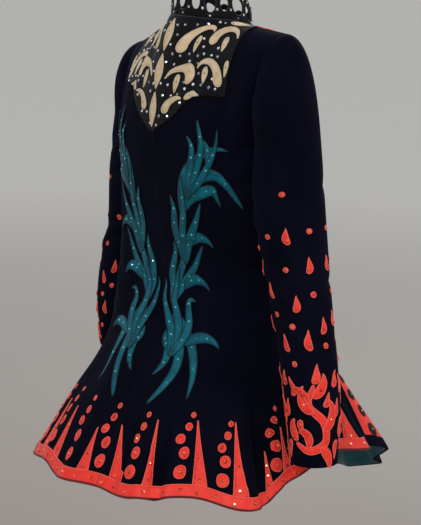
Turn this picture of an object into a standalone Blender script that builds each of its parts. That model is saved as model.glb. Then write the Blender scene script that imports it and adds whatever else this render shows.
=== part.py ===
"""Irish dance dress: velvet body with a fluted flared skirt, long sleeves, lace collar and yoke.

The dress stands as it is worn, hollow, with its front towards -Y and the wearer's right at -X.
The origin is between the shoulders at the height of the nape, where the wearer holds the dress.
Angles run round the body from the centre back (0) over the wearer's right side (90) to the
centre front (180) and back over the left side (-90).
"""

import math

import bmesh
import bpy
from mathutils import Vector

# Cloth
WALL = 0.0016
TRIM_WALL = 0.0010
SEAM_HALF = 0.00018
SHOULDER_HALF = 0.00035
ARMHOLE_GAP = 0.0008
LAY_GAP = 0.0003
BORDER_SEAM_HALF = 0.0005

# Body levels
ARMPIT_Z = -0.165
NAPE_Y = 0.053
NECK_CENTRE_Y = 0.009
NECK_HALF_WIDTH = 0.055
NECK_FRONT_Y = -0.046
NECK_FRONT_Z = -0.034
NECK_SIDE_Z = -0.004
SHOULDER_TIP = Vector((0.174, 0.004, -0.012))
LEFT_SHOULDER_DROP = 0.031

# Turn of the hips against the shoulders, toward the wearer's right
TWIST = math.radians(20.0)
TWIST_TOP_Z = -0.18
TWIST_END_Z = -0.45

# Rings of the body: height, half width, front depth, back depth
BODY_RINGS = (
    (-0.165, 0.142, 0.098, 0.089),
    (-0.220, 0.140, 0.106, 0.087),
    (-0.300, 0.134, 0.098, 0.083),
    (-0.360, 0.137, 0.104, 0.097),
    (-0.430, 0.152, 0.126, 0.140),
    (-0.490, 0.184, 0.162, 0.187),
    (-0.557, 0.221, 0.206, 0.233),
    (-0.650, 0.266, 0.240, 0.290),
)

# Hem height round the skirt: angle, height
HEM = (
    (-180, -0.640),
    (-150, -0.618),
    (-115, -0.572),
    (-75, -0.558),
    (-48, -0.562),
    (-25, -0.556),
    (8, -0.559),
    (36, -0.558),
    (55, -0.569),
    (66, -0.549),
    (80, -0.531),
    (98, -0.531),
    (125, -0.552),
    (150, -0.604),
    (180, -0.640),
)

# Crests of the skirt's flutes, as angles round the hem
FLUTE_CRESTS = (-160, -134, -108, -50, -16, 16, 50, 76, 104, 129, 153, 177, 200)
FLUTE_DEPTH = 0.0085
FLUTE_TOP_Z = -0.37
FLUTE_FULL_Z = -0.57

# Dent of the skirt's right side under the arm: angle, half spread, depth
ARM_DENT = (80.0, 14.0, 0.014)

# Flatness of the back above the waist: power of its section on the left and the right half,
# and the heights where it starts and is full
BACK_POWERS = (3.6, 2.8)
BACK_FLAT_START_Z = -0.42
BACK_FLAT_FULL_Z = -0.31

# Share of each panel's width that the neckline takes; the rest is the shoulder seam
NECK_SHARE = 0.38

# Share of each panel's width past which its upper part bends toward the armhole
ARMHOLE_SHARE = 0.62

# Way of the cloth from the armpit ring up, and its way down from the top: across, outward, up
LEAVE_MIDDLE = (0.0, 0.004, 0.052)
LEAVE_ARMHOLE = (-0.010, 0.046, 0.024)
REACH_NECK = (0.0, 0.020, -0.030)
REACH_SHOULDER = (-0.002, 0.044, -0.003)

# Yoke: last column of the panel that it covers, and its lower edge: share of width, height
YOKE_SHARE = 0.6875
YOKE_EDGE = (
    (0.00, -0.142),
    (0.20, -0.119),
    (0.38, -0.094),
    (0.69, -0.089),
)

# Skirt trims
BORDER_HEIGHT = 0.017
LINING_TOP_Z = -0.44
LINING_HEM_STEP = 0.002

# Sleeves: height, centre from the middle, centre's place forward (-) or back (+), half width, half depth
RIGHT_SLEEVE = (
    (-0.230, 0.188, 0.006, 0.043, 0.043),
    (-0.290, 0.199, 0.003, 0.040, 0.039),
    (-0.350, 0.210, 0.000, 0.037, 0.036),
    (-0.410, 0.222, -0.002, 0.035, 0.034),
    (-0.460, 0.231, -0.001, 0.032, 0.0315),
    (-0.515, 0.240, 0.002, 0.028, 0.028),
)
LEFT_SLEEVE = (
    (-0.230, 0.188, 0.007, 0.043, 0.043),
    (-0.290, 0.200, 0.008, 0.040, 0.039),
    (-0.350, 0.212, 0.018, 0.037, 0.036),
    (-0.410, 0.223, 0.020, 0.035, 0.034),
    (-0.460, 0.232, 0.014, 0.032, 0.0315),
    (-0.515, 0.240, 0.006, 0.028, 0.028),
)

# Way of a sleeve's cap from the armhole: outward, up, at its top and under the arm
LEAVE_CAP_TOP = (1.0, -0.08)
LEAVE_CAP_UNDER = (0.10, -1.0)

# Reach of the cap's curve at the armhole and at its lower end: top, under the arm
CAP_START_REACH = (0.060, 0.016)
CAP_END_REACH = (0.070, 0.022)
CAP_END_STEP = 0.02

# Collar: its height, the loops on each side, and how it stands on the neckline
COLLAR_HEIGHT = 0.034
COLLAR_LOOPS = 8
COLLAR_WALL = 0.0015
COLLAR_LEAN = 0.003
COLLAR_STEP = 0.0016
COLLAR_END = 0.004

# Half of a collar loop's outline, in shares of its width and height: across, up
LOOP_HALF = ((0.5, 0.0), (0.5, 0.35), (0.5, 0.70), (0.30, 0.93))
LOOP_TOP = (0.0, 1.0)
LOOP_FOOT = (0.0, 0.0)
HOLE_SHARE = 0.62
HOLE_CENTRE = 0.54

# Grid of the panels
PANEL_COLUMNS = 16
LOWER_ROWS = 14
UPPER_ROWS = 10
YOKE_ROWS = 6
SLEEVE_CAP_ROWS = 7
SLEEVE_ROWS = 12
EVEN_EDGE = 0.35
LOWER_SPACING = 1.25
YOKE_SPACING = 1.6

COLOURS = {
    "velvet": (0.004, 0.004, 0.010),
    "lace": (0.006, 0.006, 0.008),
    "cream": (0.58, 0.45, 0.26),
    "orange": (0.86, 0.09, 0.03),
    "teal": (0.01, 0.07, 0.09),
}


def mix(a, b, share):
    """Blend between a and b."""
    return a + (b - a) * share


def ease(value, low, high):
    """Smooth step from 0 at low to 1 at high."""
    share = min(max((value - low) / (high - low), 0.0), 1.0)
    return share * share * (3.0 - 2.0 * share)


def read_table(table, value, column):
    """Smooth (Catmull-Rom) reading of one column of a table sorted by its first column."""
    rows = table if table[0][0] < table[-1][0] else table[::-1]
    last = len(rows) - 1
    value = min(max(value, rows[0][0]), rows[last][0])
    i = max(k for k in range(last) if rows[k][0] <= value)
    width = rows[i + 1][0] - rows[i][0]
    share = (value - rows[i][0]) / width

    def slope(k):
        before, after = max(k - 1, 0), min(k + 1, last)
        return (rows[after][column] - rows[before][column]) / (rows[after][0] - rows[before][0])

    a, b = rows[i][column], rows[i + 1][column]
    s2, s3 = share * share, share ** 3
    return (
        a * (2 * s3 - 3 * s2 + 1)
        + slope(i) * width * (s3 - 2 * s2 + share)
        + b * (3 * s2 - 2 * s3)
        + slope(i + 1) * width * (s3 - s2)
    )


def curve_point(start, first, second, end, share):
    """Point of a cubic curve from start to end, drawn toward first and second."""
    keep = 1.0 - share
    return (
        start * keep ** 3
        + first * 3.0 * keep ** 2 * share
        + second * 3.0 * keep * share ** 2
        + end * share ** 3
    )


def flute(angle):
    """Height of the skirt's flutes at an angle, from -1 in a valley to 1 on a crest."""
    angle = (angle + 180.0) % 360.0 - 180.0
    for low, high in zip(FLUTE_CRESTS, FLUTE_CRESTS[1:]):
        if low <= angle <= high:
            return math.cos(math.tau * (angle - low) / (high - low))
    return math.cos(math.tau * (angle + 360.0 - FLUTE_CRESTS[-2]) / (FLUTE_CRESTS[-1] - FLUTE_CRESTS[-2]))


def section_reach(angle, z):
    """Reach of the body's section toward its back or front, from 1 at the centre to 0 at the side."""
    around = math.radians(angle)
    round_reach = math.cos(around)
    if round_reach <= 0.0:
        return round_reach
    power = BACK_POWERS[0] if angle < 0.0 else BACK_POWERS[1]
    flat_reach = max(1.0 - abs(math.sin(around)) ** power, 0.0) ** (1.0 / power)
    return mix(round_reach, flat_reach, ease(z, BACK_FLAT_START_Z, BACK_FLAT_FULL_Z))


def body_point(angle, z):
    """Point of the body's outer face below the armpits."""
    around = math.radians(angle)
    half_width = read_table(BODY_RINGS, z, 1)
    depth = read_table(BODY_RINGS, z, 2 if abs(angle) > 90.0 else 3)
    grow = ease(FLUTE_TOP_Z - z, 0.0, FLUTE_TOP_Z - FLUTE_FULL_Z)
    centre, spread, depth_of_dent = ARM_DENT
    dent = depth_of_dent * math.exp(-(((angle - centre) / spread) ** 2))
    out = grow * (FLUTE_DEPTH * flute(angle) - dent)
    x = -(half_width + out) * math.sin(around)
    y = (depth + out) * section_reach(angle, z)
    turn = TWIST * ease(TWIST_TOP_Z - z, 0.0, TWIST_TOP_Z - TWIST_END_Z)
    return Vector((
        x * math.cos(turn) - y * math.sin(turn),
        x * math.sin(turn) + y * math.cos(turn),
        z,
    ))


def top_point(side, share, back):
    """Point of a panel's top edge: the neckline, then the shoulder seam."""
    if share <= NECK_SHARE:
        around = math.radians(90.0) * share / NECK_SHARE
        edge_y = NAPE_Y if back else NECK_FRONT_Y
        edge_z = 0.0 if back else NECK_FRONT_Z
        y = NECK_CENTRE_Y + (edge_y - NECK_CENTRE_Y) * math.cos(around)
        z = mix(NECK_SIDE_Z, edge_z, math.cos(around) ** 1.5)
        return Vector((side * NECK_HALF_WIDTH * math.sin(around), y, z))
    along = (share - NECK_SHARE) / (1.0 - NECK_SHARE)
    neck_side = Vector((NECK_HALF_WIDTH, NECK_CENTRE_Y, NECK_SIDE_Z))
    point = neck_side.lerp(SHOULDER_TIP, along)
    if side > 0:
        point.z -= LEFT_SHOULDER_DROP * along
    point.x *= side
    return point


def upper_point(side, share, back, rise):
    """Point above the armpits: a curve from the armpit ring to the neckline or the shoulder."""
    angle = 90.0 * share if back else 180.0 - 90.0 * share
    out = 1.0 if back else -1.0
    start = body_point(-side * angle, ARMPIT_Z)
    end = top_point(side, share, back)
    to_armhole = ease(share, ARMHOLE_SHARE, 1.0)
    to_shoulder = ease(share, NECK_SHARE * 0.4, NECK_SHARE)

    def way(across, outward, up):
        return Vector((across * side, outward * out, up))

    first = start + way(*LEAVE_MIDDLE).lerp(way(*LEAVE_ARMHOLE), to_armhole)
    second = end + way(*REACH_NECK).lerp(way(*REACH_SHOULDER), to_shoulder)
    return curve_point(start, first, second, end, rise)


def rise_at_height(side, share, back, height):
    """Rise at which a panel's column reaches a height."""
    low, high = 0.0, 1.0
    for _ in range(24):
        middle = (low + high) / 2.0
        if upper_point(side, share, back, middle).z < height:
            low = middle
        else:
            high = middle
    return (low + high) / 2.0


def yoke_rise(side, share):
    """Rise of the yoke's lower edge on the back panel."""
    height = read_table(YOKE_EDGE, share, 1)
    return rise_at_height(side, share, True, height)


def upper_rises(edge):
    """Rises of a column's rows above the armpits, with one row at the yoke's edge."""
    split = UPPER_ROWS - YOKE_ROWS
    below = [edge * k / split for k in range(split)]
    above = [(1.0 - k / YOKE_ROWS) ** YOKE_SPACING for k in range(YOKE_ROWS + 1)]
    return below + [1.0 - (1.0 - edge) * left for left in above]


def column_points(side, share, back):
    """Outer points of one column of a panel, from the hem to the top edge."""
    angle = 90.0 * share if back else 180.0 - 90.0 * share
    hem_z = read_table(HEM, -side * angle, 1)
    points = [body_point(-side * angle, hem_z)]
    border_z = hem_z + BORDER_HEIGHT
    for k in range(LOWER_ROWS):
        z = mix(border_z, ARMPIT_Z, (k / LOWER_ROWS) ** LOWER_SPACING)
        points.append(body_point(-side * angle, z))
    edge = EVEN_EDGE
    if back:
        inside = yoke_rise(side, min(share, YOKE_SHARE))
        edge = mix(inside, EVEN_EDGE, ease(share, YOKE_SHARE, 1.0))
    return points + [upper_point(side, share, back, rise) for rise in upper_rises(edge)]


def pulled(start, toward, distance):
    """Point moved a small distance toward another."""
    return start + (toward - start).normalized() * distance


def panel_grid(side, back):
    """Columns of outer points of one quarter of the body, from its centre line to its side."""
    columns = [column_points(side, k / PANEL_COLUMNS, back) for k in range(PANEL_COLUMNS + 1)]
    neck_column = round(NECK_SHARE * PANEL_COLUMNS)
    for k, column in enumerate(columns):
        if k > neck_column:
            column[-1] = pulled(column[-1], column[-2], SHOULDER_HALF)
    side_rows = LOWER_ROWS + 2
    for row in range(side_rows):
        columns[-1][row] = pulled(columns[-1][row], columns[-2][row], SEAM_HALF)
    if back:
        for row in range(len(columns[0])):
            columns[0][row] = pulled(columns[0][row], columns[1][row], SEAM_HALF)
    return columns


def material(name):
    """Principled material of a named colour."""
    made = bpy.data.materials.get(name) or bpy.data.materials.new(name)
    made.use_nodes = True
    shader = made.node_tree.nodes["Principled BSDF"]
    shader.inputs["Base Color"].default_value = (*COLOURS[name], 1.0)
    shader.inputs["Roughness"].default_value = 0.9 if name == "velvet" else 0.55
    shader.inputs["Metallic"].default_value = 0.0
    return made


def shell(name, columns, wall, cloth, closed=False, flip=False, lift=0.0):
    """Cloth of a grid of columns: an open surface moved out by lift, thickened inward."""
    form = bmesh.new()
    grid = [[form.verts.new(point) for point in column] for column in columns]
    count = len(grid)
    for i in range(count if closed else count - 1):
        for j in range(len(grid[0]) - 1):
            a, b = grid[i], grid[(i + 1) % count]
            for corner in ((a[j], b[j], b[j + 1]), (a[j], b[j + 1], a[j + 1])):
                form.faces.new(corner if flip else corner[::-1])
    return finish_shell(name, form, wall, cloth, lift)


def finish_shell(name, form, wall, cloth, lift):
    """Object of an open surface, moved out by lift and thickened inward."""
    form.normal_update()
    for vert in form.verts:
        vert.co += vert.normal * lift
    mesh = bpy.data.meshes.new(name)
    form.to_mesh(mesh)
    form.free()
    mesh.shade_smooth()
    thing = bpy.data.objects.new(name, mesh)
    thing.data.materials.append(material(cloth))
    solidify = thing.modifiers.new("wall", "SOLIDIFY")
    solidify.thickness = wall
    solidify.offset = -1.0
    solidify.use_even_offset = False
    dress.objects.link(thing)
    return thing


def sub_grid(columns, first_column, last_column, first_row, last_row):
    """Part of a grid of columns."""
    return [column[first_row:last_row + 1] for column in columns[first_column:last_column + 1]]


def border_grid(columns):
    """Rows of a panel under its hem border, a little shorter at the seams."""
    grid = sub_grid(columns, 0, len(columns) - 1, 0, 1)
    for edge, inner in ((0, 1), (-1, -2)):
        grid[edge] = [pulled(point, toward, BORDER_SEAM_HALF)
                      for point, toward in zip(grid[edge], grid[inner])]
    return grid


def build_back():
    """The two back panels, with the yoke and the hem border on each."""
    top = LOWER_ROWS + UPPER_ROWS + 1
    for side, word in ((1, "left"), (-1, "right")):
        columns = panel_grid(side, True)
        yoke = sub_grid(columns, 0, round(YOKE_SHARE * PANEL_COLUMNS), top - YOKE_ROWS, top)
        border = border_grid(columns)
        for name, grid, wall, cloth, lift in (
            ("back_", columns, WALL, "velvet", 0.0),
            ("yoke_", yoke, TRIM_WALL, "cream", LAY_GAP + TRIM_WALL),
            ("hem_border_back_", border, TRIM_WALL, "orange", LAY_GAP + TRIM_WALL),
        ):
            shell(name + word, grid if side > 0 else grid[::-1], wall, cloth, lift=lift)


def front_columns():
    """Columns of the front panel, from the left side seam over the middle to the right one."""
    return panel_grid(1, False)[::-1] + panel_grid(-1, False)[1:]


def build_front():
    """The front panel in one piece, and its hem border."""
    columns = front_columns()
    shell("front", columns, WALL, "velvet")
    shell("hem_border_front", border_grid(columns), TRIM_WALL, "orange", lift=LAY_GAP + TRIM_WALL)


def build_lining():
    """The skirt's lining, a closed band inside the skirt."""
    count = PANEL_COLUMNS
    shares = [k / count for k in range(count)]
    columns = [column_points(1, share, True) for share in shares]
    columns += [column_points(1, 1.0 - share, False) for share in shares]
    columns += [column_points(-1, share, False) for share in shares]
    columns += [column_points(-1, 1.0 - share, True) for share in shares]
    rows = sum(1 for point in columns[0] if point.z < LINING_TOP_Z)
    band = [column[:rows] for column in columns]
    for column in band:
        column[0] = pulled(column[0], column[1], LINING_HEM_STEP)
    shell("skirt_lining", band, TRIM_WALL, "teal", closed=True, lift=-(WALL + LAY_GAP))


def sleeve_ring_point(side, z, around):
    """Point of the sleeve below its cap; around is 0 on the outer side, over the back."""
    rings = LEFT_SLEEVE if side > 0 else RIGHT_SLEEVE
    out, back, half_width, half_depth = (read_table(rings, z, k) for k in (1, 2, 3, 4))
    return Vector((
        side * (out + half_width * math.cos(around)),
        back + half_depth * math.sin(around),
        z,
    ))


def sleeve_column(side, back, rise, around):
    """Outer points of the sleeve from the armhole's edge down to the cuff."""
    cap_end = RIGHT_SLEEVE[0][0]
    cuff = RIGHT_SLEEVE[-1][0]
    under = (1.0 - math.cos(around)) / 2.0
    start = upper_point(side, 1.0, back, rise) + Vector((side * ARMHOLE_GAP, 0.0, 0.0))
    outward, up = (mix(top, low, under) for top, low in zip(LEAVE_CAP_TOP, LEAVE_CAP_UNDER))
    first = start + Vector((side * outward, 0.0, up)) * mix(*CAP_START_REACH, under)
    end = sleeve_ring_point(side, cap_end, around)
    below = sleeve_ring_point(side, cap_end - CAP_END_STEP, around)
    second = end + (end - below).normalized() * mix(*CAP_END_REACH, under)
    cap = [curve_point(start, first, second, end, k / SLEEVE_CAP_ROWS) for k in range(SLEEVE_CAP_ROWS)]
    heights = [mix(cap_end, cuff, k / SLEEVE_ROWS) for k in range(SLEEVE_ROWS + 1)]
    return cap + [sleeve_ring_point(side, z, around) for z in heights]


def sleeve_columns(side):
    """Columns of a sleeve: up the back edge of the armhole, then down its front edge."""
    rises = upper_rises(EVEN_EDGE)
    edge = [(True, rise) for rise in rises[:-1]] + [(False, rise) for rise in rises[:0:-1]]
    step = math.tau / len(edge)
    return [sleeve_column(side, back, rise, math.pi - step * k)
            for k, (back, rise) in enumerate(edge)]


def build_sleeves():
    """The two sleeves."""
    for side, word in ((1, "left"), (-1, "right")):
        shell("sleeve_" + word, sleeve_columns(side), WALL, "velvet", closed=True, flip=side > 0)


def collar_point(side, share, rise):
    """Point of the collar's outer face; share 0 at the centre back, 1 at the centre front."""
    back = share <= 0.5
    base = top_point(side, NECK_SHARE * (2.0 * share if back else 2.0 - 2.0 * share), back)
    from_centre = Vector((base.x, base.y - NECK_CENTRE_Y, 0.0))
    lean = -COLLAR_LEAN * rise / COLLAR_HEIGHT
    point = base + from_centre.normalized() * lean
    point.z += rise + COLLAR_STEP
    return point


def loop_outline():
    """Outline of one collar loop in shares of its width and height, round from its lower right."""
    mirrored = [(-across, up) for across, up in reversed(LOOP_HALF)]
    return [*LOOP_HALF, LOOP_TOP, *mirrored, LOOP_FOOT]


def build_collar():
    """The openwork collar, a row of loops on each side, joined where they meet."""
    width = (1.0 - 2.0 * COLLAR_END) / COLLAR_LOOPS
    for side, word in ((1, "left"), (-1, "right")):
        form = bmesh.new()
        for loop in range(COLLAR_LOOPS):
            middle = COLLAR_END + (loop + 0.5) * width
            outer, inner = [], []
            for across, up in loop_outline():
                hole_up = HOLE_CENTRE + (up - HOLE_CENTRE) * HOLE_SHARE
                hole_across = across * HOLE_SHARE
                outer.append(form.verts.new(
                    collar_point(side, middle + across * width, up * COLLAR_HEIGHT)))
                inner.append(form.verts.new(
                    collar_point(side, middle + hole_across * width, hole_up * COLLAR_HEIGHT)))
            for k in range(len(outer)):
                n = (k + 1) % len(outer)
                quad = (outer[k], outer[n], inner[n], inner[k])
                form.faces.new(quad if side > 0 else quad[::-1])
        bmesh.ops.remove_doubles(form, verts=form.verts, dist=0.0001)
        finish_shell("collar_" + word, form, COLLAR_WALL, "lace", 0.0)


for old in list(bpy.data.objects):
    bpy.data.objects.remove(old, do_unlink=True)

dress = bpy.data.collections.new("irish_dance_dress")
bpy.context.scene.collection.children.link(dress)

build_back()
build_front()
build_lining()
build_sleeves()
build_collar()
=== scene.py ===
import random
from math import cos, degrees, exp, hypot, pi, radians, sin, sqrt, tau

import bmesh
import bpy
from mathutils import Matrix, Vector
from mathutils.bvhtree import BVHTree
from mathutils.geometry import delaunay_2d_cdt


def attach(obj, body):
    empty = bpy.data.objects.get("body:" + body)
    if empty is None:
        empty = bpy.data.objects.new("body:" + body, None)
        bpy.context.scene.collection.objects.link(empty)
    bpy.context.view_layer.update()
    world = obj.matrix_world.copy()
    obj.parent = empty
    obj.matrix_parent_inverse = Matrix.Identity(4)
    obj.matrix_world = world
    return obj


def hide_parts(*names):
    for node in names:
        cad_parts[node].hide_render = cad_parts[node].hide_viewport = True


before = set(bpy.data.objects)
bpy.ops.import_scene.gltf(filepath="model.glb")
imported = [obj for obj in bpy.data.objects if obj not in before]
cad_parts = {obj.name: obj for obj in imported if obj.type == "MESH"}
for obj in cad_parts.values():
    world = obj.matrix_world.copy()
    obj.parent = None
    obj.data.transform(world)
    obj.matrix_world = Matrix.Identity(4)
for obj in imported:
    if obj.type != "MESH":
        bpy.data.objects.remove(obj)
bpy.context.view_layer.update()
print("frame loaded")


def inMetres(rows, *columns):
    # rows with these columns, or all of them, turned from millimetres into metres
    return [tuple(round(v / 1000, 7) if not columns or k in columns else v for k, v in enumerate(row))
            for row in rows]


# The dress faces -Y and the wearer's right is at -X. Lengths are in metres, apart from the tables
# that inMetres reads. Angles are degrees round the body, from the centre back toward the wearer's right.
sides = ((1, "left"), (-1, "right"))

body = {
    "armpitZ": -0.165,
    "twist": radians(20),
    "twistTopZ": -0.18,
    "twistEndZ": -0.45,
    # height, half width, front depth, back depth
    "rings": inMetres((
        (-165, 142, 98, 89), (-220, 140, 106, 87), (-300, 134, 98, 83), (-360, 137, 104, 97),
        (-430, 152, 126, 140), (-490, 184, 162, 187), (-557, 221, 206, 233), (-650, 266, 240, 290),
    )),
    # angle, height
    "hem": inMetres((
        (-180, -640), (-150, -618), (-115, -572), (-75, -558), (-48, -562), (-25, -556), (8, -559),
        (36, -558), (55, -569), (66, -549), (80, -531), (98, -531), (125, -552), (150, -604), (180, -640),
    ), 1),
    "fluteCrests": (-160, -134, -108, -50, -16, 16, 50, 76, 104, 129, 153, 177, 200),
    "fluteDepth": 0.0085,
    "fluteTopZ": -0.37,
    "fluteFullZ": -0.57,
    "armDent": (80, 14, 0.014),  # angle, half spread, depth
    "backPowers": (3.6, 2.8),  # left, right
    "backFlatStartZ": -0.42,
    "backFlatFullZ": -0.31,
}

top = {
    "napeY": 0.053,
    "neckCentreY": 0.009,
    "neckHalfWidth": 0.055,
    "neckFrontY": -0.046,
    "neckFrontZ": -0.034,
    "neckSideZ": -0.004,
    "shoulderTip": Vector((0.174, 0.004, -0.012)),
    "leftShoulderDrop": 0.031,
    "neckShare": 0.38,
    "armholeShare": 0.62,
    # across, outward, up
    "leaveMiddle": (0, 0.004, 0.052),
    "leaveArmhole": (-0.01, 0.046, 0.024),
    "reachNeck": (0, 0.02, -0.03),
    "reachShoulder": (-0.002, 0.044, -0.003),
}

sleeve = {
    # height, centre outward, centre back, half width, half depth
    "right": inMetres((
        (-230, 188, 6, 43, 43), (-290, 199, 3, 40, 39), (-350, 210, 0, 37, 36), (-410, 222, -2, 35, 34),
        (-460, 231, -1, 32, 31.5), (-515, 240, 2, 28, 28),
    )),
    "left": inMetres((
        (-230, 188, 7, 43, 43), (-290, 200, 8, 40, 39), (-350, 212, 18, 37, 36), (-410, 223, 20, 35, 34),
        (-460, 232, 14, 32, 31.5), (-515, 240, 6, 28, 28),
    )),
    "capEnd": -0.23,
    "cuff": -0.515,
    "leaveTop": (1, -0.08),
    "leaveUnder": (0.1, -1),
    "startReach": (0.06, 0.016),
    "endReach": (0.07, 0.022),
    "endStep": 0.02,
    "evenEdge": 0.35,
    "edgeRows": 10,
    "lowEdgeRows": 4,
    "edgeSpacing": 1.6,
    "armholeGap": 0.0003,
}


def mix(a, b, share):
    return a + (b - a) * share


def shares(count):
    return [k / count for k in range(count + 1)]


def ease(value, low, high):
    share = min(max((value - low) / (high - low), 0), 1)
    return share * share * (3 - 2 * share)


def readTable(table, value, column):
    # a smooth curve through the rows
    rows = table if table[0][0] < table[-1][0] else table[::-1]
    last = len(rows) - 1
    value = min(max(value, rows[0][0]), rows[last][0])
    i = max(k for k in range(last) if rows[k][0] <= value)
    width = rows[i + 1][0] - rows[i][0]
    s = (value - rows[i][0]) / width

    def slope(k):
        before, after = rows[max(k - 1, 0)], rows[min(k + 1, last)]
        return (after[column] - before[column]) / (after[0] - before[0])

    s2, s3 = s * s, s ** 3
    return (rows[i][column] * (2 * s3 - 3 * s2 + 1) + slope(i) * width * (s3 - 2 * s2 + s)
            + rows[i + 1][column] * (3 * s2 - 2 * s3) + slope(i + 1) * width * (s3 - s2))


def curvePoint(start, first, second, end, share):
    keep = 1 - share
    return (start * keep ** 3 + first * 3 * keep ** 2 * share
            + second * 3 * keep * share ** 2 + end * share ** 3)


def wrapAngle(angle):
    return (angle + 180) % 360 - 180


def fluteAt(angle):
    crests = body["fluteCrests"]
    for low, high in zip(crests, crests[1:]):
        if low <= angle <= high:
            return cos(tau * (angle - low) / (high - low))
    return cos(tau * (angle + 360 - crests[-2]) / (crests[-1] - crests[-2]))


def sectionReach(angle, z):
    # reach toward the back or the front, 1 at the centre and 0 at the side; flatter at the upper back
    around = radians(angle)
    roundReach = cos(around)
    if roundReach <= 0:
        return roundReach
    power = body["backPowers"][0 if angle < 0 else 1]
    flatReach = max(1 - abs(sin(around)) ** power, 0) ** (1 / power)
    return mix(roundReach, flatReach, ease(z, body["backFlatStartZ"], body["backFlatFullZ"]))


def bodySize(angle, z):
    return readTable(body["rings"], z, 1), readTable(body["rings"], z, 2 if abs(angle) > 90 else 3)


def bodyPoint(angle, z):
    angle = wrapAngle(angle)
    around = radians(angle)
    halfWidth, depth = bodySize(angle, z)
    grow = ease(body["fluteTopZ"] - z, 0, body["fluteTopZ"] - body["fluteFullZ"])
    centre, spread, dentDepth = body["armDent"]
    dent = dentDepth * exp(-(((angle - centre) / spread) ** 2))
    out = grow * (body["fluteDepth"] * fluteAt(angle) - dent)
    x = -(halfWidth + out) * sin(around)
    y = (depth + out) * sectionReach(angle, z)
    turn = body["twist"] * ease(body["twistTopZ"] - z, 0, body["twistTopZ"] - body["twistEndZ"])
    return Vector((x * cos(turn) - y * sin(turn), x * sin(turn) + y * cos(turn), z))


def topPoint(side, share, back):
    if share <= top["neckShare"]:
        around = radians(90) * share / top["neckShare"]
        edgeY = top["napeY"] if back else top["neckFrontY"]
        edgeZ = 0 if back else top["neckFrontZ"]
        y = top["neckCentreY"] + (edgeY - top["neckCentreY"]) * cos(around)
        z = mix(top["neckSideZ"], edgeZ, max(cos(around), 0) ** 1.5)
        return Vector((side * top["neckHalfWidth"] * sin(around), y, z))
    along = (share - top["neckShare"]) / (1 - top["neckShare"])
    neckSide = Vector((top["neckHalfWidth"], top["neckCentreY"], top["neckSideZ"]))
    point = neckSide.lerp(top["shoulderTip"], along)
    if side > 0:
        point.z -= top["leftShoulderDrop"] * along
    point.x *= side
    return point


def upperPoint(side, share, back, rise):
    start = bodyPoint(-side * (90 * share if back else 180 - 90 * share), body["armpitZ"])
    end = topPoint(side, share, back)
    toArmhole = ease(share, top["armholeShare"], 1)
    toShoulder = ease(share, top["neckShare"] * 0.4, top["neckShare"])

    def way(across, outward, up):
        return Vector((across * side, outward * (1 if back else -1), up))

    first = start + way(*top["leaveMiddle"]).lerp(way(*top["leaveArmhole"]), toArmhole)
    second = end + way(*top["reachNeck"]).lerp(way(*top["reachShoulder"]), toShoulder)
    return curvePoint(start, first, second, end, rise)


def riseAt(side, share, back, z, rounds):
    # the rise at which the upper body reaches a height, between two bounds
    low, high = 0, 1
    for _ in range(rounds):
        middle = (low + high) / 2
        if upperPoint(side, share, back, middle).z < z:
            low = middle
        else:
            high = middle
    return low, high


def hemZ(angle):
    return readTable(body["hem"], wrapAngle(angle), 1)


def bodySpot(angle, z):
    angle = wrapAngle(angle)
    if z <= body["armpitZ"]:
        return bodyPoint(angle, z)
    side = -1 if angle > 0 else 1
    back = abs(angle) <= 90
    share = abs(angle) / 90 if back else (180 - abs(angle)) / 90
    return upperPoint(side, share, back, sum(riseAt(side, share, back, z, 16)) / 2)


def sleeveRing(side, z, around):
    rings = sleeve["left" if side > 0 else "right"]
    out, back, halfWidth, halfDepth = (readTable(rings, z, k) for k in (1, 2, 3, 4))
    return Vector((side * (out + halfWidth * cos(around)), back + halfDepth * sin(around), z))


def sleeveColumn(side, back, rise, around):
    capEnd, capRows, lowRows = sleeve["capEnd"], sleeves["capRows"], sleeves["lowRows"]
    under = (1 - cos(around)) / 2
    start = upperPoint(side, 1, back, rise) + Vector((side * sleeve["armholeGap"], 0, 0))
    outward, up = (mix(a, b, under) for a, b in zip(sleeve["leaveTop"], sleeve["leaveUnder"]))
    first = start + Vector((side * outward, 0, up)) * mix(*sleeve["startReach"], under)
    end = sleeveRing(side, capEnd, around)
    below = sleeveRing(side, capEnd - sleeve["endStep"], around)
    second = end + (end - below).normalized() * mix(*sleeve["endReach"], under)
    cap = [curvePoint(start, first, second, end, share) for share in shares(capRows)[:-1]]
    return cap + [sleeveRing(side, mix(capEnd, sleeve["cuff"], share), around) for share in shares(lowRows)]


def armholeEdge(step):
    # the armhole's edge from the armpit up the back to the shoulder, then down the front
    rows, low = sleeve["edgeRows"], sleeve["lowEdgeRows"]
    back = step <= rows
    k = step if back else 2 * rows - step
    if k < low:
        return back, sleeve["evenEdge"] * k / low
    left = max(1 - (k - low) / (rows - low), 0)
    return back, 1 - (1 - sleeve["evenEdge"]) * left ** sleeve["edgeSpacing"]


# Materials
even = (1, 1, 1)
stitchPitch = 0.0006
waveRepeat = 0.314  # from one crest of the wave texture to the next, at a scale of 1


def setInputs(tree, node, **inputs):
    # an input takes a value, or a link where it is given another node's output
    for name, value in inputs.items():
        socket = node.inputs[name.replace("_", " ")]
        if isinstance(value, bpy.types.NodeSocket):
            tree.links.new(value, socket)
        else:
            socket.default_value = value


def addNode(tree, kind, settings=None, **inputs):
    # a new node, as the first of its outputs that is in use
    node = tree.nodes.new(kind)
    for name, value in (settings or {}).items():
        setattr(node, name, value)
    setInputs(tree, node, **inputs)
    return next((socket for socket in node.outputs if socket.enabled), None)


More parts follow.
